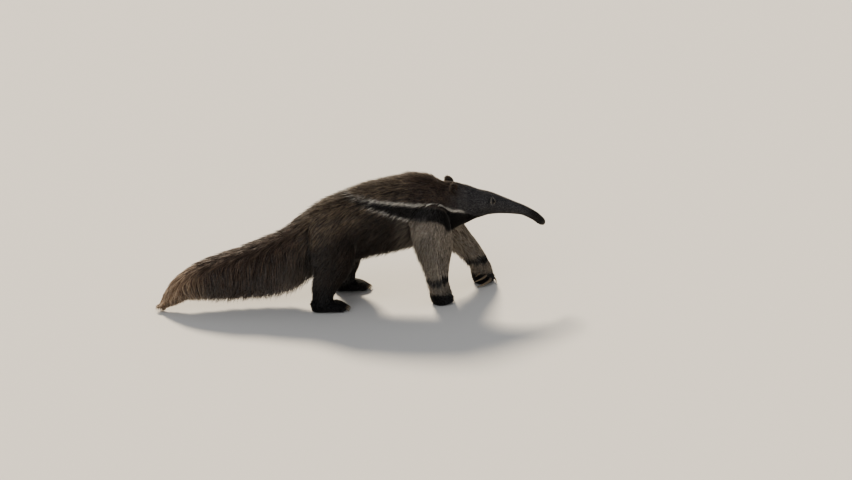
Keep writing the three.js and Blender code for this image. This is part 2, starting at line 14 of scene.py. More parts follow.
import bmesh
import bpy
import numpy as np
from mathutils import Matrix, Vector


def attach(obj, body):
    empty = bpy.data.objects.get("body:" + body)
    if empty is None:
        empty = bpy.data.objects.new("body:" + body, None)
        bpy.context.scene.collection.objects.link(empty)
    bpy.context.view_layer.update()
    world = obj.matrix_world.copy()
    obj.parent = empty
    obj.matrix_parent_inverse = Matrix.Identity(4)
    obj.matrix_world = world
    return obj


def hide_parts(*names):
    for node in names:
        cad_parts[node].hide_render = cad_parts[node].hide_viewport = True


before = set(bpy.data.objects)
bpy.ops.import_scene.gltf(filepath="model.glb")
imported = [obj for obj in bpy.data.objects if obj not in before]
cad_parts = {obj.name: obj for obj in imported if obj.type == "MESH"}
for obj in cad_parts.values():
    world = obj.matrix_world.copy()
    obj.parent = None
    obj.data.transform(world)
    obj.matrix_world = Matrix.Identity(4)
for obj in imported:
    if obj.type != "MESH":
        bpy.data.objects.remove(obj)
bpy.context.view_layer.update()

logging.basicConfig(level=logging.INFO, format="%(message)s")
LOG = logging.getLogger("anteater")

Array = np.ndarray
Object, Mesh, Material = bpy.types.Object, bpy.types.Mesh, bpy.types.Material
Tree, Node, Socket = bpy.types.NodeTree, bpy.types.Node, bpy.types.NodeSocket
Table = Sequence[Sequence[float]]
Rule = Callable[[Array], Array]  # a value that depends on the row or the place
Pair = tuple[str, str]  # a colour at the root and at the tip

ORIGIN_MM = np.array([331.166, -0.981, 0.0])  # what the solids were moved by to stand over the origin
FLOOR_MM = 0.0
SEED = 7

# The trunk from the tip of the snout to the root of the tail, out to the tips of the coat. Each row is the centre
# line's place along X and its height, the half width, how far the coat reaches above and below the centre line, and
# the depth of the coat that stands off the core there.
TRUNK = [
    [490, 291, 8, 8, 8, 0], [485, 297, 14, 15, 14, 0], [474, 308, 17, 18, 17, 0], [448, 330, 18.5, 19, 18, 0],
    [400, 358, 22, 21, 21, 0], [350, 374, 28, 29, 28, 0], [300, 388, 36, 39, 38, 0], [250, 399, 45, 51, 51, 0],
    [200, 402, 54, 64, 65, 0], [150, 404, 63, 83, 86, 0], [100, 402, 70, 100, 100, 3], [50, 392, 86, 124, 118, 10],
    [0, 386, 106, 150, 147, 15], [-70, 382, 124, 160, 163, 19], [-160, 376, 132, 160, 172, 22],
    [-260, 366, 136, 149, 180, 24], [-360, 350, 136, 132, 180, 26], [-450, 331, 128, 112, 176, 26],
    [-520, 314, 108, 84, 172, 24], [-572, 300, 88, 60, 172, 22],
]
TRUNK_COAT = (0.8, 0.9, 2.2)  # the share of that depth at the side, on the back and under the belly

# The tail's brush in the same form.
TAIL = [
    [-546, 302, 86, 60, 150, 20], [-600, 284, 84, 52, 212, 28], [-680, 260, 82, 46, 236, 34],
    [-760, 237, 82, 42, 222, 36], [-850, 210, 80, 40, 196, 36], [-940, 183, 76, 40, 170, 34],
    [-1020, 150, 68, 38, 138, 30], [-1080, 108, 56, 34, 100, 24], [-1122, 56, 38, 28, 50, 14],
    [-1150, 24, 14, 12, 18, 5],
]
TAIL_COAT = (1.1, 0.5, 3.6)

# Each leg from inside the body down to the floor: the centre's x, y and z, the half width across, how far the leg
# reaches in front of and behind its centre, and the coat's depth. y is counted towards the leg's own side.
FORELEGS = {
    "right": [
        [-46, 50, 440, 26, 56, 58, 0], [-34, 78, 392, 56, 80, 84, 0], [-14, 100, 318, 60, 84, 86, 4],
        [-4, 112, 246, 54, 78, 78, 12], [6, 114, 180, 45, 56, 62, 16], [12, 113, 130, 38, 44, 52, 14],
        [15, 112, 84, 37, 42, 41, 2], [19, 112, 44, 41, 48, 40, 0], [22, 112, 16, 40, 44, 37, 0],
        [22, 112, -4, 31, 32, 29, 0],
    ],
    "left": [
        [-20, 50, 440, 26, 56, 58, 0], [0, 78, 392, 56, 80, 84, 0], [44, 100, 322, 60, 80, 86, 4],
        [100, 110, 252, 54, 66, 76, 12], [158, 112, 192, 45, 50, 60, 16], [204, 111, 138, 38, 42, 52, 14],
        [230, 110, 88, 37, 42, 41, 2], [240, 110, 44, 41, 48, 40, 0], [243, 110, 16, 40, 44, 37, 0],
        [243, 110, -4, 31, 32, 29, 0],
    ],
}
HINDLEGS = {
    "right": [
        [-462, 50, 400, 30, 62, 56, 0], [-452, 82, 345, 56, 94, 84, 4], [-436, 104, 270, 64, 100, 90, 16],
        [-440, 114, 196, 58, 78, 82, 20], [-462, 116, 132, 48, 54, 62, 18], [-478, 116, 84, 38, 40, 46, 8],
        [-482, 116, 34, 32, 34, 34, 0],
    ],
    "left": [
        [-450, 50, 400, 30, 62, 56, 0], [-428, 82, 345, 56, 94, 84, 4], [-388, 104, 270, 64, 96, 90, 16],
        [-352, 114, 196, 58, 76, 82, 20], [-344, 116, 132, 48, 54, 62, 18], [-350, 116, 84, 38, 40, 46, 8],
        [-352, 116, 34, 32, 34, 34, 0],
    ],
}
FORELEG_COAT = (0.3, 0.2, 1.6)  # the share of the depth at a leg's sides, in front and behind
HINDLEG_COAT = (0.8, 0.6, 1.5)
PAW_ROW = 8  # the foreleg's row at the middle of the paw

# A hind foot from its heel to its toes, measured from its ankle: x, the centre's height, and the same three sizes.
HINDFOOT = [
    [-50, 24, 16, 16, 22], [-38, 26, 28, 26, 30], [-6, 28, 38, 32, 32], [34, 24, 42, 22, 28], [68, 19, 40, 17, 23],
    [86, 17, 26, 10, 18],
]

# Claws of a forefoot as a root, a bend and a tip, measured from the paw's middle on the floor: ahead, inwards, up;
# then the half thickness and the half width at the root.
FORECLAWS = {
    "first": ([-14, 26, 60], [-16, 54, 60], [-38, 52, 44], 4, 3.4),
    "second": ([10, 26, 46], [20, 62, 46], [-42, 60, 24], 7.5, 6),
    "third": ([30, 18, 26], [42, 66, 26], [-34, 72, 4], 9, 7),
    "fourth": ([40, -2, 24], [64, 14, 22], [56, 42, 4], 5.5, 4.4),
}
# A claw of a hind foot in the same form: its root from the toe's middle, the bend and the tip from the root.
HINDCLAW = ([8, 0, 4], [20.25, 0, 3], [27, 0, -16], 3.6, 4.4)


class Side(Enum):
    """A side of the animal, with the sign of its y."""

    RIGHT = -1
    LEFT = 1

    @property
    def word(self) -> str:
        """The side's name in the names of pieces."""
        return self.name.lower()

    def turned(self, angle: float) -> float:
        """An angle round the trunk, given for the right side, as it is on this side."""
        return float(angle if self is Side.RIGHT else 180 - angle)


class Part(Enum):
    """A part of the body that a stretch of skin or a tuft belongs to. The tail is the end of the trunk."""

    TRUNK = 0
    FORELEG = 1
    HINDLEG = 2


def linear(colour: str) -> Array:
    """An sRGB hex colour, "#rrggbb", as linear red, green and blue from 0 to 1."""
    coded = np.array([int(colour[i : i + 2], 16) for i in (1, 3, 5)]) / 255
    return np.where(coded <= 0.04045, coded / 12.92, ((coded + 0.055) / 1.055) ** 2.4)


def ease(low: float, high: float, value: Array) -> Array:
    """A smooth step: 0 up to low, 1 from high on, and 3t^2 - 2t^3 of the share t of the way between them."""
    share = np.clip((value - low) / (high - low), 0, 1)
    return share * share * (3 - 2 * share)


def hump(value: Array, middle: float, half: float) -> Array:
    """A bell of height 1 at the middle, e^(-u^2) of the distance u in half widths."""
    return np.exp(-(((value - middle) / half) ** 2))


def unit(vectors: Array) -> Array:
    """Each vector at length 1."""
    return vectors / np.maximum(np.linalg.norm(vectors, axis=-1, keepdims=True), 1e-12)


def dot(a: Array, b: Array) -> Array:
    """The dot product of vectors along the last axis."""
    return (a * b).sum(-1)


def mixed(scales: Sequence[Array], ways: Sequence[Array]) -> Array:
    """The sum of directions, each times its number for every point."""
    return sum(np.asarray(scale)[..., None] * way for scale, way in zip(scales, ways))


def metres(points: Array) -> Array:
    """Points in the tables' millimetres as points in the model's frame, in metres."""
    return (points + ORIGIN_MM) / 1000


def mottle(points: Array, scale: float, seed: int) -> Array:
    """Soft random patches: the mean of eight waves in random directions.

    Args:
        points: Places in millimetres.
        scale: The width of a patch in millimetres.
        seed: Which pattern.

    Returns:
        A number from -1 to 1 for each point.
    """
    rng = np.random.default_rng(seed)
    ways = unit(rng.normal(size=(8, 3))) * rng.uniform(0.6, 1.5, (8, 1)) * (np.pi / scale)
    return np.clip(np.sin(points @ ways.T + rng.uniform(0, 2 * np.pi, 8)).mean(-1) * 2, -1, 1)


class Spline:
    """A smooth curve through rows of numbers: a cubic between each two rows, whose slope at a row is half the step
    between its neighbours."""

    def __init__(self, rows: Table) -> None:
        """Keeps the rows, with one more at each end in line with the last two."""
        rows, self.count = np.asarray(rows, float), len(rows) - 1
        self.rows = np.vstack([2 * rows[0] - rows[1], rows, 2 * rows[-1] - rows[-2]])

    def at(self, place: Array | float, slope: bool = False) -> Array:
        """The curve's numbers, or their change in one row.

        Args:
            place: Places counted in rows.
            slope: Whether the change is wanted.

        Returns:
            The numbers on the last axis.
        """
        place = np.clip(np.asarray(place, float), 0, self.count)
        i = np.minimum(place.astype(int), self.count - 1)
        t = (place - i)[..., None]
        before, here, there, after = (self.rows[i + k] for k in range(4))
        start, end = (there - before) / 2, (after - here) / 2
        square, cube = 3 * (there - here) - 2 * start - end, 2 * (here - there) + start + end
        return start + t * (2 * square + 3 * t * cube) if slope else here + t * (start + t * (square + t * cube))


class Stretch:
    """A stretch of the body along a smooth centre line, with an oval section that has its own half width and its own
    reach to the front and to the back."""

    def __init__(self, centres: Array, sizes: Array, front: Sequence[float]) -> None:
        """Takes a table's centres and sizes, and the direction that 90 degrees faces."""
        self.centre, self.size, self.front = Spline(centres), Spline(sizes), np.array(front, float)
        self.count = self.centre.count

    def frame(self, row: Array | float) -> tuple[Array, Array, Array]:
        """The directions of the section at a place.

        Args:
            row: The place, counted in rows.

        Returns:
            The directions across, to the front and along.
        """
        along = unit(self.centre.at(row, slope=True))
        across = unit(np.cross(self.front, along))
        return across, np.cross(along, across), along

    def point(self, row: Array | float, angle: Array | float, grow: Array | float = 0) -> Array:
        """Points of the surface: the centre, plus cos of the angle times the half width across, plus sin times the
        reach to the front or back.

        Args:
            row: Places along the stretch.
            angle: Degrees round it, with 90 at the front.
            grow: Millimetres outside the surface.

        Returns:
            Points, with x, y and z on the last axis.
        """
        row, angle = np.broadcast_arrays(np.asarray(row, float), np.asarray(angle, float))
        across, ahead, _ = self.frame(row)
        wide, front, back = np.moveaxis(self.size.at(row), -1, 0)
        cos, sin = np.cos(np.radians(angle)), np.sin(np.radians(angle))
        side = (cos * (wide + grow))[..., None] * across
        return self.centre.at(row) + side + (sin * (np.where(sin > 0, front, back) + grow))[..., None] * ahead

    def normal(self, row: Array | float, angle: Array | float) -> Array:
        """The outward direction, square to short steps along and round the surface.

        Args:
            row: Places along the stretch.
            angle: Degrees round it.

        Returns:
            Directions of length 1.
        """
        row = np.asarray(row, float)
        around = self.point(row, angle + 1.0) - self.point(row, angle - 1.0)
        onward = self.point(np.minimum(row + 0.02, self.count), angle) - self.point(np.maximum(row - 0.02, 0), angle)
        out = unit(np.cross(around, onward))
        return np.where(dot(out, self.point(row, angle) - self.centre.at(row))[..., None] < 0, -out, out)

    def locate(self, points: Array) -> tuple[Array, Array, Array]:
        """Where points lie. The row is that of the nearest of many points of the centre line, moved on by the rest of
        the way along it.

        Args:
            points: Places in millimetres.

        Returns:
            The row, the angle and the distance outside the surface, negative inside.
        """
        rows = np.linspace(0, self.count, 16 * self.count + 1)
        centres = self.centre.at(rows)
        row = rows[np.argmin((centres**2).sum(1) - 2 * points @ centres.T, 1)]
        slope = self.centre.at(row, slope=True)
        row = np.clip(row + dot(points - self.centre.at(row), slope) / dot(slope, slope), 0, self.count)
        away = points - self.centre.at(row)
        across, ahead, along = self.frame(row)
        wide, front, back = self.size.at(row).T
        x, y = dot(away, across), dot(away, ahead)
        reach = np.where(y > 0, front, back)
        share = np.maximum(np.hypot(x / wide, y / reach), 1e-6)
        out, past = (share - 1) * np.hypot(x, y) / share, np.abs(dot(away, along))
        out = np.where(past > 1, np.hypot(np.maximum(out, 0), past), out)
        return row, np.degrees(np.arctan2(y / reach, x / wide)), out

    def shell(self, rows: Array, sides: int, grow: Array | float = 0) -> tuple[Array, Array]:
        """The closed surface over some rows, with a fan of triangles over each end.

        Args:
            rows: Places along the stretch, in order.
            sides: Points round each ring.
            grow: Millimetres outside the surface, one number or one for each row.

        Returns:
            Vertices and triangles.
        """
        angles = np.arange(sides) * 360 / sides
        rings = self.point(rows[:, None], angles[None, :], np.reshape(grow, (-1, 1)))
        return np.vstack([rings.reshape(-1, 3), self.centre.at(rows[[0, -1]])]), tube_faces(len(rows), sides)


def tube_faces(rings: int, sides: int, poles: int = 2) -> Array:
    """Triangles over rings of points, each ring's last point next to its first.

    Args:
        rings: How many rings.
        sides: Points round each.
        poles: How many more points close the tube, the first over the first ring and the second over the last.

    Returns:
        The triangles' vertex numbers.
    """
    one = np.arange(sides)
    two, last, pole = (one + 1) % sides, (rings - 1) * sides, np.full(sides, rings * sides)
    i = np.arange(rings - 1)[:, None] * sides
    a, b = i + one, i + two
    wall = np.stack([a, b, a + sides, b, b + sides, a + sides], -1).reshape(-1, 3)
    fans = [np.stack([two, one, pole], -1), np.stack([last + one, last + two, pole + 1], -1)]
    return np.vstack([wall, *fans[:poles]])


def ball(centre: Array, size: Array, rings: int = 18, sides: int = 24) -> tuple[Array, Array]:
    """An egg-shaped closed surface: the centre plus cos and sin of two angles times the three half sizes.

    Args:
        centre: Its middle.
        size: Its half sizes along x, y and z.
        rings: Rings between its poles.
        sides: Points round each.

    Returns:
        Vertices and triangles.
    """
    up = np.radians(np.linspace(-90, 90, rings + 2))[1:-1, None]
    turn = np.radians(np.arange(sides) * 360 / sides)[None, :]
    ring = np.stack(np.broadcast_arrays(np.cos(up) * np.cos(turn), np.cos(up) * np.sin(turn), np.sin(up)), -1)
    points = np.vstack([ring.reshape(-1, 3), [[0, 0, -1], [0, 0, 1]]])
    return np.asarray(centre) + points * size, tube_faces(rings, sides)


class Coated:
    """A part of the body with a coat: its outline at the tips, and its core, a share of the coat's depth inside."""

    def __init__(self, centres: Array, sizes: Array, shares: Array, front: Sequence[float]) -> None:
        """Takes a table's centres, its sizes with the coat's depth last, the depth's shares and the front."""
        self.outline, self.count = Stretch(centres, sizes[:, :3], front), len(centres) - 1
        self.core = Stretch(centres, np.maximum(sizes[:, :3] - sizes[:, 3:] * np.array(shares), 5), front)


def spine() -> Coated:
    """The trunk and the tail as one: the trunk's rows without the last, then the tail's without the first.

    Returns:
        The coated stretch.
    """
    rows = np.array(TRUNK[:-1] + TAIL[1:], float)
    shares = [TRUNK_COAT] * (len(TRUNK) - 1) + [TAIL_COAT] * (len(TAIL) - 1)
    return Coated(np.stack([rows[:, 0], 0 * rows[:, 0], rows[:, 1]], 1), rows[:, 2:], shares, (0, 0, 1))


@dataclass(frozen=True)
class Leg:
    """One leg: its kind, its side and its coated stretch."""

    part: Part
    side: Side
    coated: Coated

    @property
    def name(self) -> str:
        """The leg's name as in foreleg_right."""
        return f"{self.part.name.lower()}_{self.side.word}"

    @property
    def foot(self) -> Array:
        """The middle of the paw on the floor."""
        end = self.coated.core.centre.at(PAW_ROW if self.part is Part.FORELEG else self.coated.count)
        return np.array([end[0], end[1], FLOOR_MM])

    def toes(self) -> list[Array]:
        """The forefoot's three knuckles or the hind foot's five toes, in a bow.

        Returns:
            The middle of each.
        """
        if self.part is Part.FORELEG:
            return [self.foot + [34 - 4 * abs(i), 22 * i, 24] for i in (-1, 0, 1)]
        return [self.foot + [82 - 6 * abs(i), 16 * i, 15] for i in (-2, -1, 0, 1, 2)]


class Body:
    """The stretches that the animal is made of."""

    def __init__(self) -> None:
        """Builds the stretches from the tables."""
        self.trunk, self.legs = spine(), []
        for part, tables, shares in (
            (Part.FORELEG, FORELEGS, FORELEG_COAT),
            (Part.HINDLEG, HINDLEGS, HINDLEG_COAT),
        ):
            for side in Side:
                rows = np.array(tables[side.word], float)
                coated = Coated(rows[:, :3] * [1, side.value, 1], rows[:, 3:], shares, (1, 0, 0))
                self.legs.append(Leg(part, side, coated))
        self.cores = [self.trunk.core] + [leg.coated.core for leg in self.legs]
        self.numbers = np.array([Part.TRUNK.value] + [leg.part.value for leg in self.legs])

    def distances(self, points: Array) -> Array:
        """How far each point is outside each core, in the order of cores."""
        return np.stack([core.locate(points)[2] for core in self.cores], 1)

    def nearest(self, points: Array) -> tuple[Array, Array]:
        """The number of the part that each point lies on, and how close the next part is, in millimetres."""
        away = np.abs(self.distances(points))
        return self.numbers[np.argmin(away, 1)], np.sort(away, 1)[:, 1]

    def clear(self, points: Array, own: Stretch, margin: Array) -> Array:
        """Moves points that lie a little way inside another part's core out over its surface, so that hair that
        reaches another part lies over it. The share that they move falls to nothing 60 mm inside.

        Args:
            points: Places on the tufts.
            own: The core that the hair grows on.
            margin: How far outside the other core each point ends.

        Returns:
            The moved points.
        """
        flat, over = points.reshape(-1, 3), margin.ravel()
        for core in self.cores:
            if core is not own:
                row, angle, out = core.locate(flat)
                share = ease(-60, -35, out) * (out < over) * (row < core.count - 0.01)
                flat = flat + share[:, None] * (core.point(row, angle, over) - flat)
        return flat.reshape(points.shape)


@dataclass(frozen=True)
class Shades:
    """The coat's colours at its roots and tips, as sRGB hex values. Most are the hair's own colours in even light;
    the face, crown and pale hair are set darker, their own colour with painted shade in it.
    """

    # face, crown and pale: the hair's own colour darkened by painted shade
    face: Pair = ("#38373a", "#7d7a78")
    snout: Pair = ("#1f1a18", "#39312d")
    fold: Pair = ("#aaa294", "#aaa294")
    crown: Pair = ("#2d2320", "#695a4d")
    black: Pair = ("#0f0c0b", "#1b1614")
    line: Pair = ("#e4dfd5", "#e4dfd5")
    pale: Pair = ("#716960", "#a69d90")
    flank: Pair = ("#1e1814", "#453a31")
    back: Pair = ("#3a3129", "#8a7c6b")
    tail: Pair = ("#302522", "#716256")
    brush: Pair = ("#6c5647", "#c8b29a")
    ear: Pair = ("#2f2620", "#7c6a58")
    lash: Pair = ("#15100e", "#2c2420")
    bare: str = "#1b1715"


@dataclass(frozen=True)
class Markings:
    """The pattern of the coat, the same for the skin and the tufts on it. Edges are given as points along X with
    their height, in millimetres: the white line over the dark wedge on the shoulder, the wedge's lower edge, and the
    top of the back."""

    shades: Shades = Shades()
    line: Table = (
        (-400, 470), (-300, 464), (-200, 456), (-115, 446), (-18, 434), (28, 423), (63, 409), (85, 398), (127, 391),
        (173, 368), (200, 356), (292, 353), (320, 300),
    )
    lower: Table = (
        (-400, 468), (-320, 450), (-230, 424), (-160, 400), (-117, 386), (-85, 384), (-24, 382), (8, 374), (30, 360),
        (40, 340), (52, 312), (66, 270), (90, 200), (300, 100),
    )
    top: Table = ((-572, 345), (-450, 430), (-260, 505), (-70, 534), (50, 510), (150, 484))
    line_half: float = 4.8
    shoulder: float = 112  # how far out the line crosses the top of a foreleg, and how steeply it slants there
    slant: float = 0.6
    front: float = 20  # where the wedge leaves the shoulder for the throat
    wrist: tuple[float, float] = (98, 130)  # the lower and the upper edge of the dark band there
    paw: float = 54  # the height of the dark paw
    eye: tuple[float, float] = (261.6, 418.1)
    fold: tuple[float, float] = (9, 13.5)  # how far ahead of the eye and above it the pale folds lie
    # the next two are painted shade round the eye: darkening between the folds and in the crease behind them
    painted_eye_shade: tuple[float, float] = (5.2, 10)  # the dark streak over the eye in the same way
    crease: tuple[float, float] = (15.5, 15)  # the dark crease behind the folds

    @staticmethod
    def over(x: Array, z: Array, edge: Table) -> Array:
        """How far above an edge each place is."""
        return z - np.interp(x, *np.array(edge, float).T)

    @staticmethod
    def as_right(x: Array, y: Array, z: Array) -> Array:
        """Places on the forelegs moved ahead or back by the difference between their leg's centre line and the right
        one's, so that both legs wear the same marks.

        Args:
            x: Places along X.
            y: Places along Y, which tell the leg.
            z: Heights.

        Returns:
            The new places along X.
        """
        right, left = (np.array(FORELEGS[side.word], float)[::-1] for side in Side)
        step = np.interp(z, left[:, 2], left[:, 0]) - np.interp(z, right[:, 2], right[:, 0])
        return np.where(y > 0, x - step, x)

    def marks(self, points: Array, part: Array) -> list[tuple[Array, Pair]]:
        """The marks of body and legs, each to be laid over the ones before it, with edges a few millimetres wide.

        Args:
            points: Places in millimetres.
            part: The number of the part that each belongs to.

        Returns:
            For each mark how much of it a place has, from 0 to 1, and its colours.
        """
        s, (x, y, z) = self.shades, points.T
        trunk, fore, hind = (part == kind.value for kind in Part)
        soft = 3 * mottle(points, 14, 3)
        on_leg = np.where(fore, np.minimum(self.as_right(x, y, z), 44), x)
        over, under = self.over(on_leg, z, self.line), self.over(on_leg, z, self.lower)
        over = over - np.where(fore, self.slant * (np.abs(y) - self.shoulder), 0)
        above, ahead = ease(-4, 6, over + soft), x > self.front
        shoulder = ease(-112, -86, x + 3 * soft) * ease(90, 40, x - 0.5 * (330 - z)) * ease(240, 265, z)
        ribs = 0.55 * ease(-190, -130, x + 5 * soft) * ease(60, 20, x) * ease(205, 240, z)
        pale = np.maximum(shoulder, ribs) * ease(14, 34, np.abs(y)) * ease(4, -4, under)
        low, high = self.wrist
        band = ease(high + 4, high - 4, z + 2 * soft) * ease(low - 4, low + 4, z + 2 * soft)
        wedge = ease(3, -3, over) * np.where(ahead, 1, ease(-3, 3, under)) * ease(-408, -380, x)
        throat = np.where(ahead, np.maximum(ease(-3, 3, under), ease(60, 75, x)), 1)
        thin = self.line_half * (0.3 + 0.7 * ease(-400, -140, x))
        white = ease(-400, -300, x) * ease(150, 118, x) * 1.5 * hump(over, 0, thin * np.where(fore, 0.85, 1))
        return [
            ((trunk | hind) * ease(-140, -40, self.over(x, z, self.top) + 5 * soft), s.back),
            # the crown, face and pale colours carry painted shade in them
            (trunk * ease(-170, -60, x + 4 * soft) * above, s.crown),
            (trunk * ease(30, 150, x + 0.5 * (425 - z) + 7 * soft) * above, s.face),
            (trunk * pale, s.pale),
            (fore * 1.0, s.pale),
            (fore * band, s.black),
            (fore * ease(self.paw + 6, self.paw - 6, z + soft), s.black),
            (trunk * throat * wedge, s.black),
            (fore * ease(3, -3, over) * ease(-3, 3, under), s.black),
            (fore * ease(0, 5, over), s.crown),
            # the leg that reaches forward carries the line over its top
            ((trunk | fore & (y > 0)) * white, s.line),
            (trunk * ease(-380, -260, x) * ease(-96, -120, x) * 1.2 * hump(under, -2, 0.7 * thin), s.line),
            (trunk * ease(-530, -610, x + 4 * soft), s.tail),
            (trunk * ease(-940, -1090, x + 5 * soft), s.brush),
            (hind * ease(140, 60, z), s.black),
            (trunk * ease(395, 455, x + 2 * soft), s.snout),
        ]

    def eye_marks(self, points: Array, part: Array) -> list[tuple[Array, Pair]]:
        """The marks round the eyes in the same form: two pale folds as arcs of an ellipse before and behind the eye,
        and painted shade: a dark streak over the eye between the folds, and a dark crease behind them.

        Args:
            points: Places in millimetres.
            part: The number of the part that each belongs to.

        Returns:
            For each mark how much of it a place has, and its colours.
        """
        s, trunk = self.shades, part == Part.TRUNK.value
        ahead, up = points[:, 0] - self.eye[0], points[:, 2] - self.eye[1]
        folds = hump(np.hypot(ahead / self.fold[0], up / self.fold[1]), 1, 0.2) * ease(2.5, 5, np.abs(ahead))
        # painted shade: a dark streak over the eye between the folds, and a dark crease behind them
        crease = hump(np.hypot((ahead + 2) / self.crease[0], up / self.crease[1]), 1, 0.11) * (ahead < -8)
        painted_eye_shade = ease(1.1, 0.7, np.hypot(ahead / self.painted_eye_shade[0], up / self.painted_eye_shade[1]))
        return [(trunk * 0.75 * folds, s.fold), (trunk * painted_eye_shade, s.black), (trunk * 0.8 * crease, s.black)]

    def paint(self, points: Array, part: Array) -> tuple[Array, Array]:
        """The colour of the coat at its roots and at its tips: the flanks', with each mark laid over it.

        Args:
            points: Places in millimetres.
            part: The number of the part that each belongs to.

        Returns:
            Two arrays of linear colours.
        """
        coat = [np.tile(linear(shade), (len(points), 1)) for shade in self.shades.flank]
        for mask, pair in self.marks(points, part) + self.eye_marks(points, part):
            share = np.clip(mask, 0, 1)[:, None]
            coat = [old + share * (linear(new) - old) for old, new in zip(coat, pair)]
        return coat[0], coat[1]


def object_from(name: str, points: Array, faces: Array, smooth: bool = True) -> Object:
    """A mesh object at the origin.

    Args:
        name: The piece's name.
        points: Vertices in the tables' millimetres.
        faces: Vertex numbers, three or four to a face.
        smooth: Whether faces are shaded smooth.

    Returns:
        The new object, linked to the scene.
    """
    mesh, corners = bpy.data.meshes.new(name), faces.shape[1]
    mesh.vertices.add(len(points))
    move(mesh, points)
    mesh.loops.add(faces.size)
    mesh.loops.foreach_set("vertex_index", faces.astype(np.int32).ravel())
    mesh.polygons.add(len(faces))
    mesh.polygons.foreach_set("loop_start", np.arange(0, faces.size, corners, dtype=np.int32))
    mesh.polygons.foreach_set("use_smooth", np.full(len(faces), smooth))
    mesh.update(calc_edges=True)
    return linked(name, mesh)


def linked(name: str, data: bpy.types.ID) -> Object:
    """A new object, linked to the scene.

    Args:
        name: Its name.
        data: Its mesh, camera or lamp.

    Returns:
        The object.
    """
    made = bpy.data.objects.new(name, data)
    bpy.context.scene.collection.objects.link(made)
    return made


def move(mesh: Mesh, points: Array) -> None:
    """Puts a mesh's vertices at points given in the tables' millimetres."""
    mesh.vertices.foreach_set("co", metres(points).astype(np.float32).ravel())


def read(items: bpy.types.bpy_prop_collection, key: str, width: int = 3, kind: type = np.float32) -> Array:
    """A property of all of a mesh's vertices, edges or triangles.

    Args:
        items: The vertices, edges or triangles.
        key: The property's name.
        width: How many numbers each has.
        kind: The numbers' type.

    Returns:
        A row of numbers for each, real ones in full precision.
    """
    flat = np.zeros(len(items) * width, kind)
    items.foreach_get(key, flat)
    return flat.reshape(-1, width).astype(float if kind is np.float32 else kind)


def points_of(mesh: Mesh) -> Array:
    """A mesh's vertices in the tables' millimetres."""
    return read(mesh.vertices, "co") * 1000 - ORIGIN_MM


def keep(mesh: Mesh, name: str, values: Array, colour: bool = False) -> None:
    """Keeps values for each vertex under a name that a material reads.

    Args:
        mesh: The piece's mesh.
        name: The name.
        values: A number, a vector or a linear colour for each vertex.
        colour: Whether they are colours.
    """
    if colour:
        values = np.concatenate([np.clip(values, 0, 1), np.ones((len(values), 1))], 1)
        layer, slot = mesh.color_attributes.new(name, "FLOAT_COLOR", "POINT"), "color"
    else:
        kind, slot = ("FLOAT", "value") if values.ndim == 1 else ("FLOAT_VECTOR", "vector")
        layer = mesh.attributes.new(name, kind, "POINT")
    layer.data.foreach_set(slot, values.astype(np.float32).ravel())


def fix_normals(mesh: Mesh) -> None:
    """Turns the faces of a closed mesh outwards.

    Args:
        mesh: The mesh.
    """
    work = bmesh.new()
    work.from_mesh(mesh)
    bmesh.ops.recalc_face_normals(work, faces=list(work.faces))
    if work.calc_volume(signed=True) < 0:
        bmesh.ops.reverse_faces(work, faces=list(work.faces))
    work.to_mesh(mesh)
    work.free()


# Materials.


def node(tree: Tree, kind: str, settings: dict[str, object] | None = None, **sockets: object) -> Node:
    """Adds a node with its settings and fills or links its sockets.

    Args:
        tree: The material's node tree.
        kind: The node's type after ShaderNode.
        settings: Properties of the node.
        **sockets: A value or a source for each input, by its name with _ for a space, or by _ and its number.

    Returns:
        The new node.
    """
    made = tree.nodes.new("ShaderNode" + kind)
    for key, value in (settings or {}).items():
        setattr(made, key, value)
    for key, value in sockets.items():
        target = made.inputs[int(key[1:]) if key[1:].isdigit() else key.replace("_", " ")]
        if isinstance(value, Socket):
            tree.links.new(value, target)
        else:
            target.default_value = value
    return made


def grained(tree: Tree, colour: Socket, pattern: Socket, low: float, high: float) -> Socket:
    """A colour made darker and lighter by the middle of a noise pattern's range.

    Args:
        tree: The material's node tree.
        colour: The colour.
        pattern: The noise.
        low: What the colour is multiplied by where the noise is low.
        high: The same where it is high.

    Returns:
        The new colour.
    """
    tone = node(tree, "MapRange", Value=pattern, From_Min=0.3, From_Max=0.7, To_Min=low, To_Max=high)
    multiply = {"data_type": "RGBA", "blend_type": "MULTIPLY"}
    return node(tree, "Mix", multiply, _0=1.0, _6=colour, _7=tone.outputs[0]).outputs[2]


def streaks(tree: Tree, lie: Socket, length: float, width: float, **settings: float) -> Socket:
    """Noise drawn out along the lie of a surface.

    Args:
        tree: The material's node tree.
        lie: The lie that the mesh keeps.
        length: A streak's length in millimetres.
        width: Its width in millimetres.
        **settings: The noise's other sockets.

    Returns:
        The noise.
    """
    scale = (1 / length, 1 / width, 1 / width)
    drawn = node(tree, "Mapping", {"vector_type": "POINT"}, Vector=lie, Scale=scale)
    return node(tree, "TexNoise", Vector=drawn.outputs[0], Scale=1.0, **settings).outputs["Fac"]


@dataclass(frozen=True)
class Finish:
    """What all finishes share: a name, and a material that ends in the shader which each of them builds."""

    name: str

    def shader(self, tree: Tree) -> Node:
        """Builds the shader."""
        return node(tree, "BsdfPrincipled")

    def make(self) -> Material:
        """Builds the material.

        Returns:
            The material.
        """
        material = bpy.data.materials.new(self.name)
        material.use_nodes = True
        material.node_tree.nodes.clear()
        node(material.node_tree, "OutputMaterial", Surface=self.shader(material.node_tree).outputs[0])
        return material


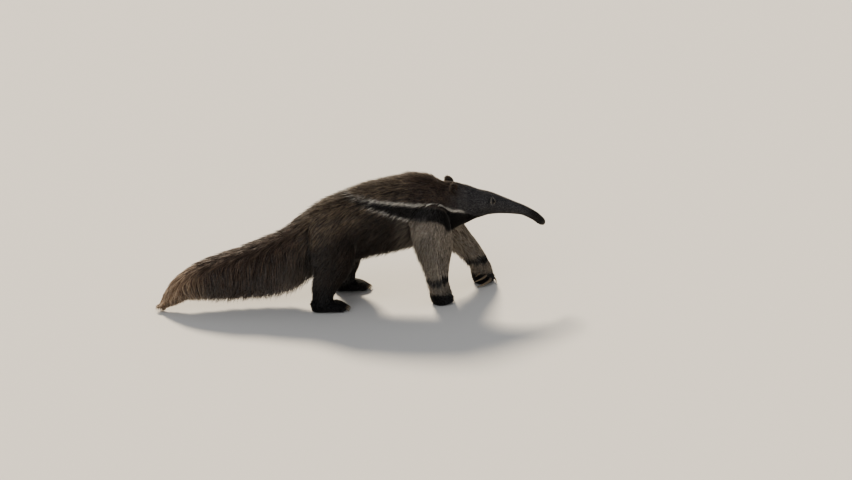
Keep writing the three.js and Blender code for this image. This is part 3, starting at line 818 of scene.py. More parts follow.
@dataclass(frozen=True)
class TuftHair(Finish):
    """Guard hair in tufts: dry, coarse keratin with a dull gloss. The colour is the tuft's own, broken along its
    length by bands that real grizzled hair has, and it is a little soft at grazing light."""

    roughness: float = 0.62
    specular: float = 0.3
    sheen: float = 0.3
    band_mm: float = 9.0  # the bands on a hair
    band_depth: float = 0.22

    def shader(self, tree: Tree) -> Node:
        """Builds the shader: the tuft's colour under the bands.

        Args:
            tree: The material's node tree.

        Returns:
            The shader.
        """
        place, coat = node(tree, "TexCoord"), node(tree, "VertexColor", {"layer_name": "coat"})
        scale = 1000 / self.band_mm
        bands = node(tree, "TexNoise", Vector=place.outputs["Object"], Scale=scale, Detail=3.0, Roughness=0.6)
        low, high = 1 - self.band_depth, 1 + self.band_depth
        return node(
            tree, "BsdfPrincipled", Base_Color=grained(tree, coat.outputs[0], bands.outputs["Fac"], low, high),
            Roughness=self.roughness, Specular_IOR_Level=self.specular, Sheen_Weight=self.sheen, Sheen_Roughness=0.35,
        )


@dataclass(frozen=True)
class ShortCoatSkin(Finish):
    """Skin under a close coat. Flat short hair is drawn as fine streaks along its lie, in colour and in relief, and
    bare places are smoother, darker and leathery, with fine creases."""

    name: str = "short_coat_skin"
    hair_mm: float = 1.1  # the width of a streak, drawn a little coarser than single hairs so that it shows
    length_mm: float = 11.0
    crease_mm: float = 1.6
    relief_mm: float = 0.5

    def shader(self, tree: Tree) -> Node:
        """Builds the shader: streaks of hair, or creases where the skin is bare.

        Args:
            tree: The material's node tree.

        Returns:
            The shader.
        """
        coat = node(tree, "VertexColor", {"layer_name": "coat"}).outputs[0]
        bare = node(tree, "Attribute", {"attribute_name": "bare"}).outputs["Fac"]
        lie = node(tree, "Attribute", {"attribute_name": "lie"}).outputs["Vector"]
        hair = streaks(tree, lie, self.length_mm, self.hair_mm, Detail=2.0, Roughness=0.6)
        creases = node(tree, "TexVoronoi", {"feature": "DISTANCE_TO_EDGE"}, Vector=lie, Scale=1 / self.crease_mm)
        hairy = grained(tree, coat, hair, 0.62, 1.3)
        colour = node(tree, "Mix", {"data_type": "RGBA"}, _0=bare, _6=hairy, _7=coat)
        height = node(tree, "Mix", {"data_type": "FLOAT"}, _0=bare, _2=hair, _3=creases.outputs["Distance"])
        relief = node(tree, "Bump", Height=height.outputs[0], Strength=0.6, Distance=self.relief_mm / 1000)
        gloss = node(tree, "MapRange", Value=bare, From_Min=0.0, From_Max=1.0, To_Min=0.8, To_Max=0.42)
        return node(
            tree, "BsdfPrincipled", Base_Color=colour.outputs[2], Roughness=gloss.outputs[0], Specular_IOR_Level=0.3,
            Sheen_Weight=0.2, Sheen_Roughness=0.4, Normal=relief.outputs[0],
        )


@dataclass(frozen=True)
class EarLeather(Finish):
    """The thin leathery skin of an ear, dull and slightly creased, lighter in the cup."""

    name: str = "ear_leather"
    outside: str = "#2f2721"
    inside: str = "#4b3c34"
    pore_mm: float = 2.5

    def shader(self, tree: Tree) -> Node:
        """Builds the shader: two tones of skin under fine pores.

        Args:
            tree: The material's node tree.

        Returns:
            The shader.
        """
        place = node(tree, "TexCoord").outputs["Object"]
        pores = node(tree, "TexNoise", Vector=place, Scale=1000 / self.pore_mm, Detail=4.0).outputs["Fac"]
        relief = node(tree, "Bump", Height=pores, Strength=0.4, Distance=0.0005)
        cup, ends = node(tree, "Attribute", {"attribute_name": "cup"}), (self.outside, self.inside)
        low, high = ((*linear(end), 1) for end in ends)
        skin = node(tree, "Mix", {"data_type": "RGBA"}, _0=cup.outputs["Fac"], _6=low, _7=high)
        colour = grained(tree, skin.outputs[2], pores, 0.75, 1.2)
        return node(
            tree, "BsdfPrincipled", Base_Color=colour, Roughness=0.7, Specular_IOR_Level=0.3, Normal=relief.outputs[0]
        )


@dataclass(frozen=True)
class WetEye(Finish):
    """A dark brown eye under a wet cornea: a near black pupil, a thin brown iris and a dark rim, with a clear
    gloss."""

    name: str = "wet_eye"
    pupil: str = "#050403"
    iris: str = "#1d120c"
    rim: str = "#0a0706"

    def shader(self, tree: Tree) -> Node:
        """Builds the shader: rings of colour round the eye's axis.

        Args:
            tree: The material's node tree.

        Returns:
            The shader.
        """
        away = node(tree, "Attribute", {"attribute_name": "from_axis"})
        ramp = node(tree, "ValToRGB", Fac=away.outputs["Fac"])
        stops = ((0.0, self.pupil), (0.42, self.pupil), (0.5, self.iris), (0.68, self.iris), (0.8, self.rim))
        elements = ramp.color_ramp.elements
        while len(elements) < len(stops):
            elements.new(0.5)
        for element, (position, colour) in zip(elements, stops):
            element.position, element.color = position, (*linear(colour), 1)
        return node(
            tree, "BsdfPrincipled", Base_Color=ramp.outputs["Color"], Roughness=0.08, IOR=1.376, Coat_Weight=0.6,
            Coat_Roughness=0.03,
        )


@dataclass(frozen=True)
class ClawHorn(Finish):
    """Claw horn: keratin grown in long layers, grey brown at the root and worn paler and smoother to the tip, with
    fine ridges along it."""

    name: str = "claw_horn"
    root: str = "#2c2621"
    tip: str = "#8f7f68"
    ridge_mm: float = 0.9
    length_mm: float = 20.0

    def shader(self, tree: Tree) -> Node:
        """Builds the shader: the horn's colours along its growth, under the ridges.

        Args:
            tree: The material's node tree.

        Returns:
            The shader.
        """
        lie = node(tree, "Attribute", {"attribute_name": "lie"}).outputs["Vector"]
        ridges = streaks(tree, lie, self.length_mm, self.ridge_mm, Detail=3.0)
        relief = node(tree, "Bump", Height=ridges, Strength=0.35, Distance=0.0004)
        grown, ends = node(tree, "Attribute", {"attribute_name": "grown"}), (self.root, self.tip)
        low, high = ((*linear(end), 1) for end in ends)
        horn = node(tree, "Mix", {"data_type": "RGBA"}, _0=grown.outputs["Fac"], _6=low, _7=high)
        colour = grained(tree, horn.outputs[2], ridges, 0.7, 1.2)
        return node(
            tree, "BsdfPrincipled", Base_Color=colour, Roughness=0.38, Specular_IOR_Level=0.45,
            Normal=relief.outputs[0],
        )


@dataclass(frozen=True)
class Backdrop(Finish):
    """Matte painted board under the animal, plain and pale."""

    name: str = "matte_backdrop"
    colour: str = "#d9d7d2"

    def shader(self, tree: Tree) -> Node:
        """Builds the shader."""
        colour = (*linear(self.colour), 1)
        return node(tree, "BsdfPrincipled", Base_Color=colour, Roughness=0.9, Specular_IOR_Level=0.1)


def dress(piece: Object, material: Material, slot: str, *nodes: str) -> Object:
    """Gives a piece its material and its body, hides the solids that it stands for, and reports it.

    Args:
        piece: The finished piece.
        material: Its material.
        slot: Not used.
        *nodes: The solids that it replaces.

    Returns:
        The piece.
    """
    piece.data.materials.append(material)
    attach(piece, "root")
    if nodes:
        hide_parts(*nodes)
    piece.data.calc_loop_triangles()
    LOG.info("%s: %d triangles", piece.name, len(piece.data.loop_triangles))
    return piece


# The hide.


@dataclass(frozen=True)
class EyeSocket:
    """Where an eye sits and how its lids close over it, in millimetres and degrees."""

    side: Side
    trunk: Stretch
    row: float = 6.84
    angle: float = 25
    inset: float = 4.5
    radius: float = 7.5
    lid: tuple[float, float, float] = (14, 9.6, 8.8)
    slit: tuple[float, float, float] = (6.8, 4.3, 3.4)  # half its length, its height above and below its corners
    slope: float = -0.22
    folds: Table = ((1.7, 1.3, 0.13), (1.2, 1.75, 0.16))  # round the lids: height, place in lids' sizes, half width
    creases: Table = ((-0.9, 1.08, 0.09), (-0.6, 1.55, 0.1))

    def axes(self) -> tuple[Array, Array, Array, Array]:
        """The eyeball's place on the head.

        Returns:
            Its centre, and the directions along the lids, up across them and outwards.
        """
        row, turn = self.row, self.side.turned(self.angle)
        out = self.trunk.normal(row, turn)
        width = unit(np.cross(out, unit(np.array([1, 0, self.slope]))))
        centre = self.trunk.point(row, turn) - self.inset * out
        return centre, unit(np.cross(width, out)), -self.side.value * width, out

    def place(self, points: Array) -> tuple[Array, Array, Array]:
        """How far points are along the lids, across them and outwards from the eyeball's centre."""
        centre, *ways = self.axes()
        return tuple((points - centre) @ way for way in ways)

    def opening(self, along: Array, across: Array) -> Array:
        """How far outside the almond between the lids a place is, in millimetres: its edges are two parabolas."""
        long, above, below = self.slit
        return np.abs(across) - np.where(across > 0, above, below) * (1 - (along / long) ** 2)

    def shape(self, points: Array) -> Array:
        """Moves the skin over the eye: a lid is the upper part of an egg, open in an almond where the skin falls
        behind the eyeball, with a crease round the lids and two curved folds before and behind them.

        Args:
            points: Places on the skin.

        Returns:
            The moved places.
        """
        along, across, up = self.place(points)
        near = (np.abs(along) < 40) & (np.abs(across) < 32) & (up > -8)
        long, tall, high = self.lid
        share = np.hypot(along / long, across / tall)
        lid = high * np.sqrt(np.clip(1 - share**2, 0, 1))
        folds, creases = (
            sum(up_by * hump(share, at, half) for up_by, at, half in rows) for rows in (self.folds, self.creases)
        )
        ends = (along / long) ** 2 / np.maximum(share, 1e-6) ** 2
        rounded = (up + lid + np.sqrt((up - lid) ** 2 + 1.6**2)) / 2
        raised = rounded + (folds + creases) * (0.25 + 0.75 * ends)
        outside = self.opening(along, across)
        gap = ease(0.5, -0.5, outside) * (share < 1)
        rim = 0.7 * hump(outside, 0.9, 0.7) * (share < 1)
        wanted = (raised + rim) * (1 - gap) + 1.5 * gap
        return points + (near * ease(2.6, 2.0, share) * (wanted - up))[:, None] * self.axes()[3]

    def bare(self, points: Array) -> Array:
        """How bare the skin is round the eye, from 0 to 1."""
        along, across, up = self.place(points)
        return ease(0.86, 0.62, np.hypot(along / self.lid[0], across / self.lid[1])) * (up > -6)

    def rim(self, points: Array) -> Array:
        """How near a place is to the dark rims of the lids, from 0 to 1."""
        along, across, up = self.place(points)
        return ease(1.8, 0.9, self.opening(along, across)) * (np.abs(along) < self.lid[0]) * (up > -6)


@dataclass
class Hide:
    """The one skin of the whole animal. The trunk, tail, legs and paws are closed surfaces that are fused on a fine
    grid and smoothed where they meet, and the head is a close grid of its own that is joined on in front."""

    body: Body
    eyes: list[EyeSocket]
    voxel: float = 3.4
    under: float = 3.0  # the depth of the short coat on the neck and head
    fused_rows: tuple[int, int] = (8, 160)  # where the fused trunk begins, and its rings
    around: int = 72
    leg_grid: tuple[int, int] = (70, 40)  # rings, and points round each
    foot_grid: tuple[int, int] = (40, 32)
    rounds: tuple[int, int] = (70, 2)  # of smoothing where parts meet, and everywhere
    meeting: tuple[float, float] = (42, 6)  # how near the next part smoothing begins and is full
    above_feet: tuple[float, float] = (100, 150)  # the heights between which it sets in
    thin_behind: float = 110  # the X behind which triangles are thinned, from the lower of those heights up
    head_rows: int = 9  # where the head's grid ends
    rings: tuple[tuple[float, float, int], ...] = ((0, 3.2, 70), (3.2, 6.2, 66), (6.2, 7.5, 76), (7.5, 9, 32))
    sides: int = 176
    dome: tuple[int, float] = (9, 4.0)  # the steps and the height of the dome at the tip
    knuckle: tuple[float, float, float] = (20, 13, 20)
    toe: tuple[float, float, float] = (20, 9, 13)
    thin: float = 0.34  # the share of the fused triangles that is kept behind the head and above the paws
    swells: Table = (  # of the face: the height of each, its row and angle, and its half widths along those
        (3.0, 8.3, -22, 0.55, 26),  # cheek
        (2.4, 7.3, 50, 0.35, 16),  # brow
        (-1.6, 7.9, 32, 0.5, 16),  # temple
        (-0.9, 4.6, -8, 1.1, 20),  # muzzle
    )
    mouth: tuple[float, float, float] = (3.1, 0.38, 2.4)  # its last row, how low it is, and its depth
    nostril: tuple[float, float] = (0.75, 42)  # its row and angle
    hole: tuple[float, float, float] = (3.6, 1.7, 2.8)  # its half length and half height, and its depth

    def __post_init__(self) -> None:
        """Keeps the trunk's core at hand."""
        self.trunk = self.body.trunk.core

    def parts(self) -> tuple[Array, Array]:
        """The closed surfaces that are fused: trunk with tail, legs, hind feet, knuckles and toes.

        Returns:
            All their vertices and triangles.
        """
        rows = np.linspace(self.fused_rows[0], self.trunk.count, self.fused_rows[1])
        shells = [self.trunk.shell(rows, self.around, -self.under * ease(20, 16, rows))]
        for leg in self.body.legs:
            core, size = leg.coated.core, self.knuckle
            shells.append(core.shell(np.linspace(0, core.count, self.leg_grid[0]), self.leg_grid[1]))
            if leg.part is Part.HINDLEG:
                rows, size = np.array(HINDFOOT, float), self.toe
                centres = leg.foot + np.stack([rows[:, 0], 0 * rows[:, 0], rows[:, 1]], 1)
                foot = Stretch(centres, rows[:, 2:5], (0, 0, 1))
                shells.append(foot.shell(np.linspace(0, foot.count, self.foot_grid[0]), self.foot_grid[1]))
            shells += [ball(toe, np.array(size)) for toe in leg.toes()]
        starts = np.cumsum([0] + [len(points) for points, _ in shells[:-1]])
        points = np.vstack([points for points, _ in shells])
        return points, np.vstack([faces + start for (_, faces), start in zip(shells, starts)])

    def fused(self) -> Object:
        """The fused surfaces: remade on a grid of voxels, then smoothed, most where two parts meet, by moving each
        point towards the mean of its neighbours, and thinned away from head and paws.

        Returns:
            The fused object.
        """
        made = object_from("hide_fused", *self.parts())
        remesh = made.modifiers.new("voxels", "REMESH")
        remesh.mode, remesh.voxel_size = "VOXEL", self.voxel / 1000
        self.settle(made)
        points = points_of(made.data)
        one, two = read(made.data.edges, "vertices", 2, np.int32).T
        ends, others = np.r_[one, two], np.r_[two, one]
        count = np.bincount(ends, minlength=len(points))[:, None]
        next_part, height = self.body.nearest(points)[1], points[:, 2].copy()
        near = 0.12 + 0.8 * ease(*self.meeting, next_part) * ease(*self.above_feet, height)
        near = (near * (near > 0.15))[:, None]
        for share in [near] * self.rounds[0] + [0.4] * self.rounds[1]:
            total = [np.bincount(ends, points[others, k], len(points)) for k in range(3)]
            points += share * (np.stack(total, 1) / count - points)
        points[:, 2] = np.maximum(points[:, 2], FLOOR_MM)
        move(made.data, points)
        far = (points[:, 2] > self.above_feet[0]) & (points[:, 0] < self.thin_behind)
        made.vertex_groups.new(name="thin").add(np.flatnonzero(far).tolist(), 1.0, "REPLACE")
        thin = made.modifiers.new("thin", "DECIMATE")
        thin.vertex_group, thin.ratio = "thin", self.thin
        self.settle(made)
        return made

    @staticmethod
    def settle(piece: Object) -> None:
        """Makes the result of a piece's modifiers its own mesh.

        Args:
            piece: The piece.
        """
        graph = bpy.context.evaluated_depsgraph_get()
        mesh = bpy.data.meshes.new_from_object(piece.evaluated_get(graph))
        piece.modifiers.clear()
        old, piece.data = piece.data, mesh
        bpy.data.meshes.remove(old)

    def head_grid(self) -> tuple[Array, Array]:
        """The head as a grid of rows and angles with its face worked into it, closed at the tip by a low dome. The
        angles stand closer at the eyes: a running sum of a density with two bells reaches equal steps there.

        Returns:
            Vertices, ring by ring from the tip, the pole last, and triangles.
        """
        fine = np.linspace(-90, 270, 2001)
        density = 1 + 2.4 * (hump(fine, 25, 15) + hump(fine, 155, 15))
        total = np.concatenate([[0], np.cumsum((density[1:] + density[:-1]) / 2)])
        angles = np.interp(np.arange(self.sides) / self.sides * total[-1], total, fine)
        rows = np.concatenate([np.linspace(*part)[:-1] for part in self.rings[:-1]] + [np.linspace(*self.rings[-1])])
        grid = self.trunk.point(rows[:, None], angles[None, :], -self.under * ease(2.5, 9.0, rows)[:, None])
        steps, height = self.dome
        turn = np.radians(np.linspace(0, 90, steps + 1)[1:-1])[:, None, None]
        start, along = self.trunk.centre.at(0), self.trunk.frame(0)[2]
        cap = start + np.sin(turn) * (grid[0] - start) - height * np.cos(turn) * along
        points = np.vstack([cap.reshape(-1, 3), grid.reshape(-1, 3), (start - height * along)[None]])
        return self.carve(points), tube_faces(len(cap) + len(rows), self.sides, poles=1)

    def carve(self, points: Array) -> Array:
        """Works the face into the head: cheek, brow, temple, muzzle and jaw as low swellings and hollows, the line of
        the mouth with its lips, the nostrils, and the eyes with their lids and folds.

        Args:
            points: Places on the plain head.

        Returns:
            The moved places.
        """
        row, angle, _ = self.trunk.locate(points)
        turned = (np.where(np.cos(np.radians(angle)) < 0, 180 - angle, angle) + 180) % 360 - 180
        swell = sum(up * hump(row, at, long) * hump(turned, to, wide) for up, at, to, long, wide in self.swells)
        swell = swell - 1.1 * hump(turned, -46 + 4 * (row - 4), 7) * ease(3.2, 4.6, row) * ease(8.6, 7.0, row)
        last, _, deep = self.mouth
        off = self.over_mouth(points, row) - 0.8 * np.sin(row * 2.2)
        lips = -deep * hump(off, 0, 0.85) + 0.7 * hump(off, 1.9, 0.9) + 0.6 * hump(off, -2.0, 1.0)
        out = unit(points - self.trunk.centre.at(row))
        points = points + (swell + lips * ease(last, last - 0.5, row))[:, None] * out
        row, angle = self.nostril
        long, tall, deep = self.hole
        along = self.trunk.frame(row)[2]
        for side in Side:
            normal = self.trunk.normal(row, side.turned(angle))
            away = points - self.trunk.point(row, side.turned(angle))
            ahead = away @ along
            hole = np.hypot(ahead / long, (away @ unit(np.cross(normal, along)) - 0.06 * ahead**2) / tall)
            dip = -deep * ease(1.15, 0.55, hole) + 0.8 * hump(hole, 1.5, 0.3)
            points = points + (dip * (np.abs(away @ normal) < 9))[:, None] * normal
        for eye in self.eyes:
            points = eye.shape(points)
        return points

    def over_mouth(self, points: Array, row: Array) -> Array:
        """How far above the line of the mouth each point is, at the row where it lies."""
        height = dot(points - self.trunk.centre.at(row), self.trunk.frame(row)[1])
        return height + self.mouth[1] * self.trunk.size.at(row)[:, 2]

    def join(self, fused: Object) -> Object:
        """Cuts the fused neck where the head's grid ends and joins the two rings of points with triangles.

        Args:
            fused: The fused object, which is removed.

        Returns:
            The whole hide.
        """
        cut, work = (TRUNK[self.head_rows][0] + ORIGIN_MM[0]) / 1000, bmesh.new()
        work.from_mesh(fused.data)
        near = [f for f in work.faces if f.calc_center_median().x > cut - 0.03 and f.calc_center_median().z > 0.295]
        parts = list({v for f in near for v in f.verts}) + list({e for f in near for e in f.edges}) + near
        bmesh.ops.bisect_plane(
            work, geom=parts, plane_co=(cut, 0, 0), plane_no=(1, 0, 0), clear_outer=True, dist=1e-6
        )
        points, faces = self.head_grid()
        verts = [work.verts.new(p) for p in metres(points)]
        for a, b, c in faces.tolist():
            work.faces.new((verts[a], verts[b], verts[c]))
        bmesh.ops.bridge_loops(work, edges=[e for e in work.edges if e.is_boundary])
        bmesh.ops.triangulate(work, faces=[f for f in work.faces if len(f.verts) > 3])
        bmesh.ops.remove_doubles(work, verts=list(work.verts), dist=1e-6)
        bmesh.ops.recalc_face_normals(work, faces=list(work.faces))
        LOG.info("hide: %d open edges", sum(e.is_boundary for e in work.edges))
        mesh = bpy.data.meshes.new("hide")
        work.to_mesh(mesh)
        work.free()
        bpy.data.objects.remove(fused)
        mesh.polygons.foreach_set("use_smooth", np.full(len(mesh.polygons), True))
        return linked("hide", mesh)

    def colour(self, mesh: Mesh, markings: Markings) -> None:
        """Gives the skin the coat's colours, its lie and its bare places.

        Args:
            mesh: The hide's mesh.
            markings: The coat's pattern.
        """
        points = points_of(mesh)
        part, _ = self.body.nearest(points)
        root, tip = markings.paint(points, part)
        bare, skin = self.bare(points), 0.7 * (0.9 * root + 0.1 * tip)
        lids = np.max([eye.bare(points) for eye in self.eyes], 0)
        rims = np.max([eye.rim(points) for eye in self.eyes], 0)
        dark = np.maximum(bare * (1 - 0.9 * lids), rims)[:, None]
        keep(mesh, "coat", skin + dark * (linear(markings.shades.bare) - skin), colour=True)
        keep(mesh, "bare", bare)
        keep(mesh, "lie", np.where((part >= Part.FORELEG.value)[:, None], points[:, [2, 0, 1]], points))

    def bare(self, points: Array) -> Array:
        """How bare the skin is: the tip of the snout, the mouth's line, the lids and the soles.

        Args:
            points: Places on the skin.

        Returns:
            A number from 0 to 1 for each.
        """
        row, last = self.trunk.locate(points)[0], self.mouth[0]
        mouth = hump(self.over_mouth(points, row), 0, 1.8) * ease(last, last - 0.4, row)
        bare = np.max([ease(2.1, 1.2, row), mouth] + [eye.bare(points) for eye in self.eyes], 0)
        return np.maximum(bare * ((points[:, 0] > 140) & (points[:, 2] > 270)), ease(6, 2, points[:, 2]))

    def build(self, markings: Markings) -> Object:
        """Makes the skin and dresses it.

        Args:
            markings: The coat's pattern.

        Returns:
            The hide.
        """
        made = self.join(self.fused())
        self.colour(made.data, markings)
        flesh = ["head", "neck", "torso", "tail"]
        for leg in self.body.legs:
            flesh += [leg.name, leg.name.replace("leg", "paw")]
        return dress(made, ShortCoatSkin().make(), "grey_coat", *flesh)


@dataclass(frozen=True)
class Ear:
    """An ear, a small round cup of leathery skin that opens forwards and outwards. Its wall is a profile of a back, a
    rounded rim and an inner side, turned about the cup's axis and stretched to the ear's width and height."""

    side: Side
    x: float = 90
    z: float = 488
    out: float = 51
    deep: float = 13
    wide: float = 20
    tall: float = 24
    wall: float = 2.6
    splay: float = 40
    lean: float = 26
    tilt: float = 18
    around: int = 56

    def axes(self) -> tuple[Array, Array, Array, Array]:
        """The ear's place on the head.

        Returns:
            Its middle and its directions: out of the cup, across and up.
        """
        sign, splay = self.side.value, np.radians(self.splay)
        lean, tilt = -np.radians(self.lean), -sign * np.radians(self.tilt)
        tall = unit(np.array([np.sin(lean), -np.cos(lean) * np.sin(tilt), np.cos(lean) * np.cos(tilt)]))
        wide = unit(np.cross(tall, [np.cos(splay), sign * np.sin(splay), 0]))
        return np.array([self.x, sign * self.out, self.z], float), np.cross(wide, tall), wide, tall

    def build(self) -> Object:
        """Makes the ear and dresses it: the back is a quarter of an ellipse, the inner side the same, a wall's
        thickness inside it, and the cup bends along its rim and has a fold near its lower edge.

        Returns:
            The ear.
        """
        back, inside = np.radians(np.linspace(-90, 14, 18)[1:]), np.radians(np.linspace(8, -90, 18)[:-1])
        share, floor = 1 - self.wall / self.wide, self.deep - self.wall
        outer = np.stack([np.cos(back), self.deep * np.sin(back)], 1)
        inner = np.stack([share * np.cos(inside), floor * np.sin(inside)], 1)
        lip = np.array([[(outer[-1, 0] + inner[0, 0]) / 2 + 0.01, max(outer[-1, 1], inner[0, 1]) + 0.9]])
        reach, depth = np.vstack([outer, lip, inner]).T[..., None]
        in_cup = np.arange(len(reach))[:, None] > len(outer)
        turn = np.radians(np.arange(self.around) * 360 / self.around)
        radius = reach * (1 + 0.05 * np.sin(3 * turn + 0.6) + 0.03 * np.sin(5 * turn))
        fold = 0.9 * hump(reach, 0.55, 0.12) * hump(turn[None, :], 4.2, 0.9) * in_cup
        hollow = depth + 1.6 * reach**3 * np.cos(2 * turn) - fold
        centre, deep, wide, tall = self.axes()
        sizes = (radius * self.wide * np.cos(turn), radius * self.tall * np.sin(turn), hollow)
        rings = centre + mixed(sizes, (wide, tall, deep))
        points = np.vstack([rings.reshape(-1, 3), centre - self.deep * deep, centre - floor * deep])
        made = object_from(f"ear_cup_{self.side.word}", points, tube_faces(len(reach), self.around))
        fix_normals(made.data)
        keep(made.data, "cup", np.r_[np.repeat(in_cup[:, 0].astype(float), self.around), 0, 1])
        return dress(made, EarLeather().make(), "ear_skin", f"ear_{self.side.word}")


@dataclass(frozen=True)
class Eye:
    """An eyeball with its cornea: a sphere that bulges a little round its axis."""

    socket: EyeSocket
    gap: float = 0.15
    bulge: float = 0.5
    rings: int = 34
    around: int = 48

    def build(self) -> Object:
        """Makes the eyeball and dresses it.

        Returns:
            The eyeball.
        """
        centre, *ways = self.socket.axes()
        points, faces = ball(np.zeros(3), np.ones(3), self.rings, self.around)
        away = np.hypot(points[:, 0], points[:, 1])
        radius = self.socket.radius - self.gap + self.bulge * hump(away, 0, 0.45) * (points[:, 2] > 0)
        world = centre + (points * radius[:, None]) @ np.stack(ways)
        made = object_from(f"eyeball_{self.socket.side.word}", world, faces)
        fix_normals(made.data)
        keep(made.data, "from_axis", np.where(points[:, 2] > 0, away, 1.0))
        return dress(made, WetEye().make(), "eyeball", f"eye_{self.socket.side.word}")


@dataclass(frozen=True)
class Claws:
    """The claws of one foot, each a horn along a bend from its root to its tip: an oval section, thicker above than
    at its edges, that thins as the square root of what is left of its length."""

    leg: Leg
    around: int = 24
    rings: int = 30

    def horn(self, root: Array, bend: Array, tip: Array, thick: float, wide: float) -> tuple[Array, Array, Array]:
        """One claw.

        Args:
            root: Where it leaves the toe.
            bend: The corner that its curve turns round.
            tip: Its point.
            thick: Half its size in the plane of the bend.
            wide: Half its size across it.

        Returns:
            Vertices ring by ring, how far along its length each is, and its place along and round the claw.
        """
        t = np.linspace(0, 0.985, self.rings)[:, None]
        middle = (1 - t) ** 2 * root + 2 * t * (1 - t) * bend + t**2 * tip
        along = unit(2 * (1 - t) * (bend - root) + 2 * t * (tip - bend))
        across = unit(np.cross(bend - root, tip - bend))[None]
        share = 0.06 + 0.94 * np.sqrt(1 - t)
        turn = np.radians(np.arange(self.around) * 360 / self.around)
        edge = 1 - 0.16 * hump(np.cos(turn), -1, 0.5)
        side = (thick * share * np.cos(turn))[..., None] * across[:, None]
        high = (wide * share * np.sin(turn) * edge)[..., None] * np.cross(across, along)[:, None]
        rings = middle[:, None] + side + high
        length = np.linalg.norm(tip - root)
        lie = np.broadcast_arrays(length * t, thick * np.cos(turn)[None], wide * np.sin(turn)[None])
        points = np.vstack([rings.reshape(-1, 3), root[None], tip[None]])
        grown = np.r_[np.repeat(t[:, 0], self.around), 0, 1]
        return points, grown, np.vstack([np.stack(lie, -1).reshape(-1, 3), [[0, 0, 0], [length, 0, 0]]])

    def sizes(self) -> list[tuple[Array, Array, Array, float, float]]:
        """The claws' measures, from the tables.

        Returns:
            For each claw its root, bend and tip, and its two half sizes.
        """
        if self.leg.part is Part.FORELEG:
            foot, turn = self.leg.foot, [1, -self.leg.side.value, 1]
            rows = FORECLAWS.values()
            return [(*(foot + np.multiply(place, turn) for place in row[:3]), *row[3:]) for row in rows]
        start, bend, tip, thick, wide = HINDCLAW
        roots = [toe + start for toe in self.leg.toes()]
        return [(root, root + bend, root + tip, thick, wide) for root in roots]

    def build(self, material: Material) -> Object:
        """Makes the claws as one piece and dresses it.

        Args:
            material: The horn's material.

        Returns:
            The claws.
        """
        points, grown, lies = zip(*(self.horn(*size) for size in self.sizes()))
        faces = tube_faces(self.rings, self.around)
        faces = np.vstack([faces + i * len(points[0]) for i in range(len(points))])
        name = self.leg.name.replace("leg", "claws")
        made = object_from(name, np.vstack(points), faces)
        fix_normals(made.data)
        keep(made.data, "grown", np.concatenate(grown))
        keep(made.data, "lie", np.vstack(lies))
        toes = FORECLAWS if self.leg.part is Part.FORELEG else range(1, 6)
        return dress(made, material, "horn", *(f"{self.leg.name.replace('leg', 'claw')}_{toe}" for toe in toes))


# The coat.


@dataclass
class Tufts:
    """Tufts of one piece as arrays: the path of each from root to tip, its outward direction, its width, its colour
    at each place on the path, and its root's place on the unwrap."""

    paths: Array
    out: Array
    width: Array
    shades: Array
    unwrap: Array
    flat: float = 0.45  # how thick a tuft is for its width
    patch: float = 0.003  # its size on the unwrap

    def piece(self, name: str) -> Object:
        """Joins the tufts to one mesh. A tuft is a three-sided blade: at each place on its path two edges half its
        width to either side and a ridge above them, and one point at the tip.

        Args:
            name: The piece's name.

        Returns:
            The piece, not yet dressed.
        """
        n, k = self.paths.shape[:2]
        along = unit(np.gradient(self.paths, axis=1))
        across = unit(np.cross(along, self.out[:, None] + 0 * along))
        ridge = unit(np.cross(across, along))
        half = (self.width[:, None] * np.array(TAPER[k])[None] / 2)[..., None]
        body, side, top = self.paths[:, :-1], across[:, :-1] * half, ridge[:, :-1] * half * 2 * self.flat
        rings = np.stack([body + side - top / 2, body + top / 2, body - side - top / 2], 2)
        points = np.concatenate([rings.reshape(n, -1, 3), self.paths[:, -1:]], 1)
        each, last = points.shape[1], 3 * (k - 2)
        tip = [[last + i, last + (i + 1) % 3, each - 1] for i in range(3)]
        one = np.vstack([[[2, 1, 0]], tube_faces(k - 1, 3, poles=0), tip])[:, ::-1]
        faces = (one[None] + (np.arange(n) * each)[:, None, None]).reshape(-1, 3)
        made = object_from(name, points.reshape(-1, 3), faces)
        ring = np.r_[np.repeat(np.arange(k - 1), 3), k - 1]
        keep(made.data, "coat", self.shades[:, ring].reshape(-1, 3), colour=True)
        self.lay_out(made.data, faces, ring / (k - 1))
        return made

    def lay_out(self, mesh: Mesh, faces: Array, share: Array) -> None:
        """Adds the map in which each tuft is a small patch at its root's place on the skin's unwrap.

        Args:
            mesh: The tufts' mesh.
            faces: Its triangles.
            share: How far along its tuft each vertex of one is.
        """
        low, high = self.unwrap.min(0), self.unwrap.max(0)
        root = 0.01 + 0.98 * (self.unwrap - low) / np.maximum(high - low, 1e-9)
        side = np.r_[np.tile([-1.0, 0.0, 1.0], len(share) // 3), 0.0]
        patch = np.stack([self.patch * (share - 0.5), self.patch / 2 * side], 1)
        place = (root[:, None] + patch[None]).reshape(-1, 2)
        layer = mesh.uv_layers.new(name="OFBake")
        layer.uv.foreach_set("vector", place[faces.ravel()].astype(np.float32).ravel())


def merged(sets: Sequence[Tufts]) -> Tufts:
    """Several sets of tufts with paths of the same number of points as one."""
    keys = ("paths", "out", "width", "shades", "unwrap")
    return Tufts(*(np.concatenate([getattr(one, key) for one in sets]) for key in keys))


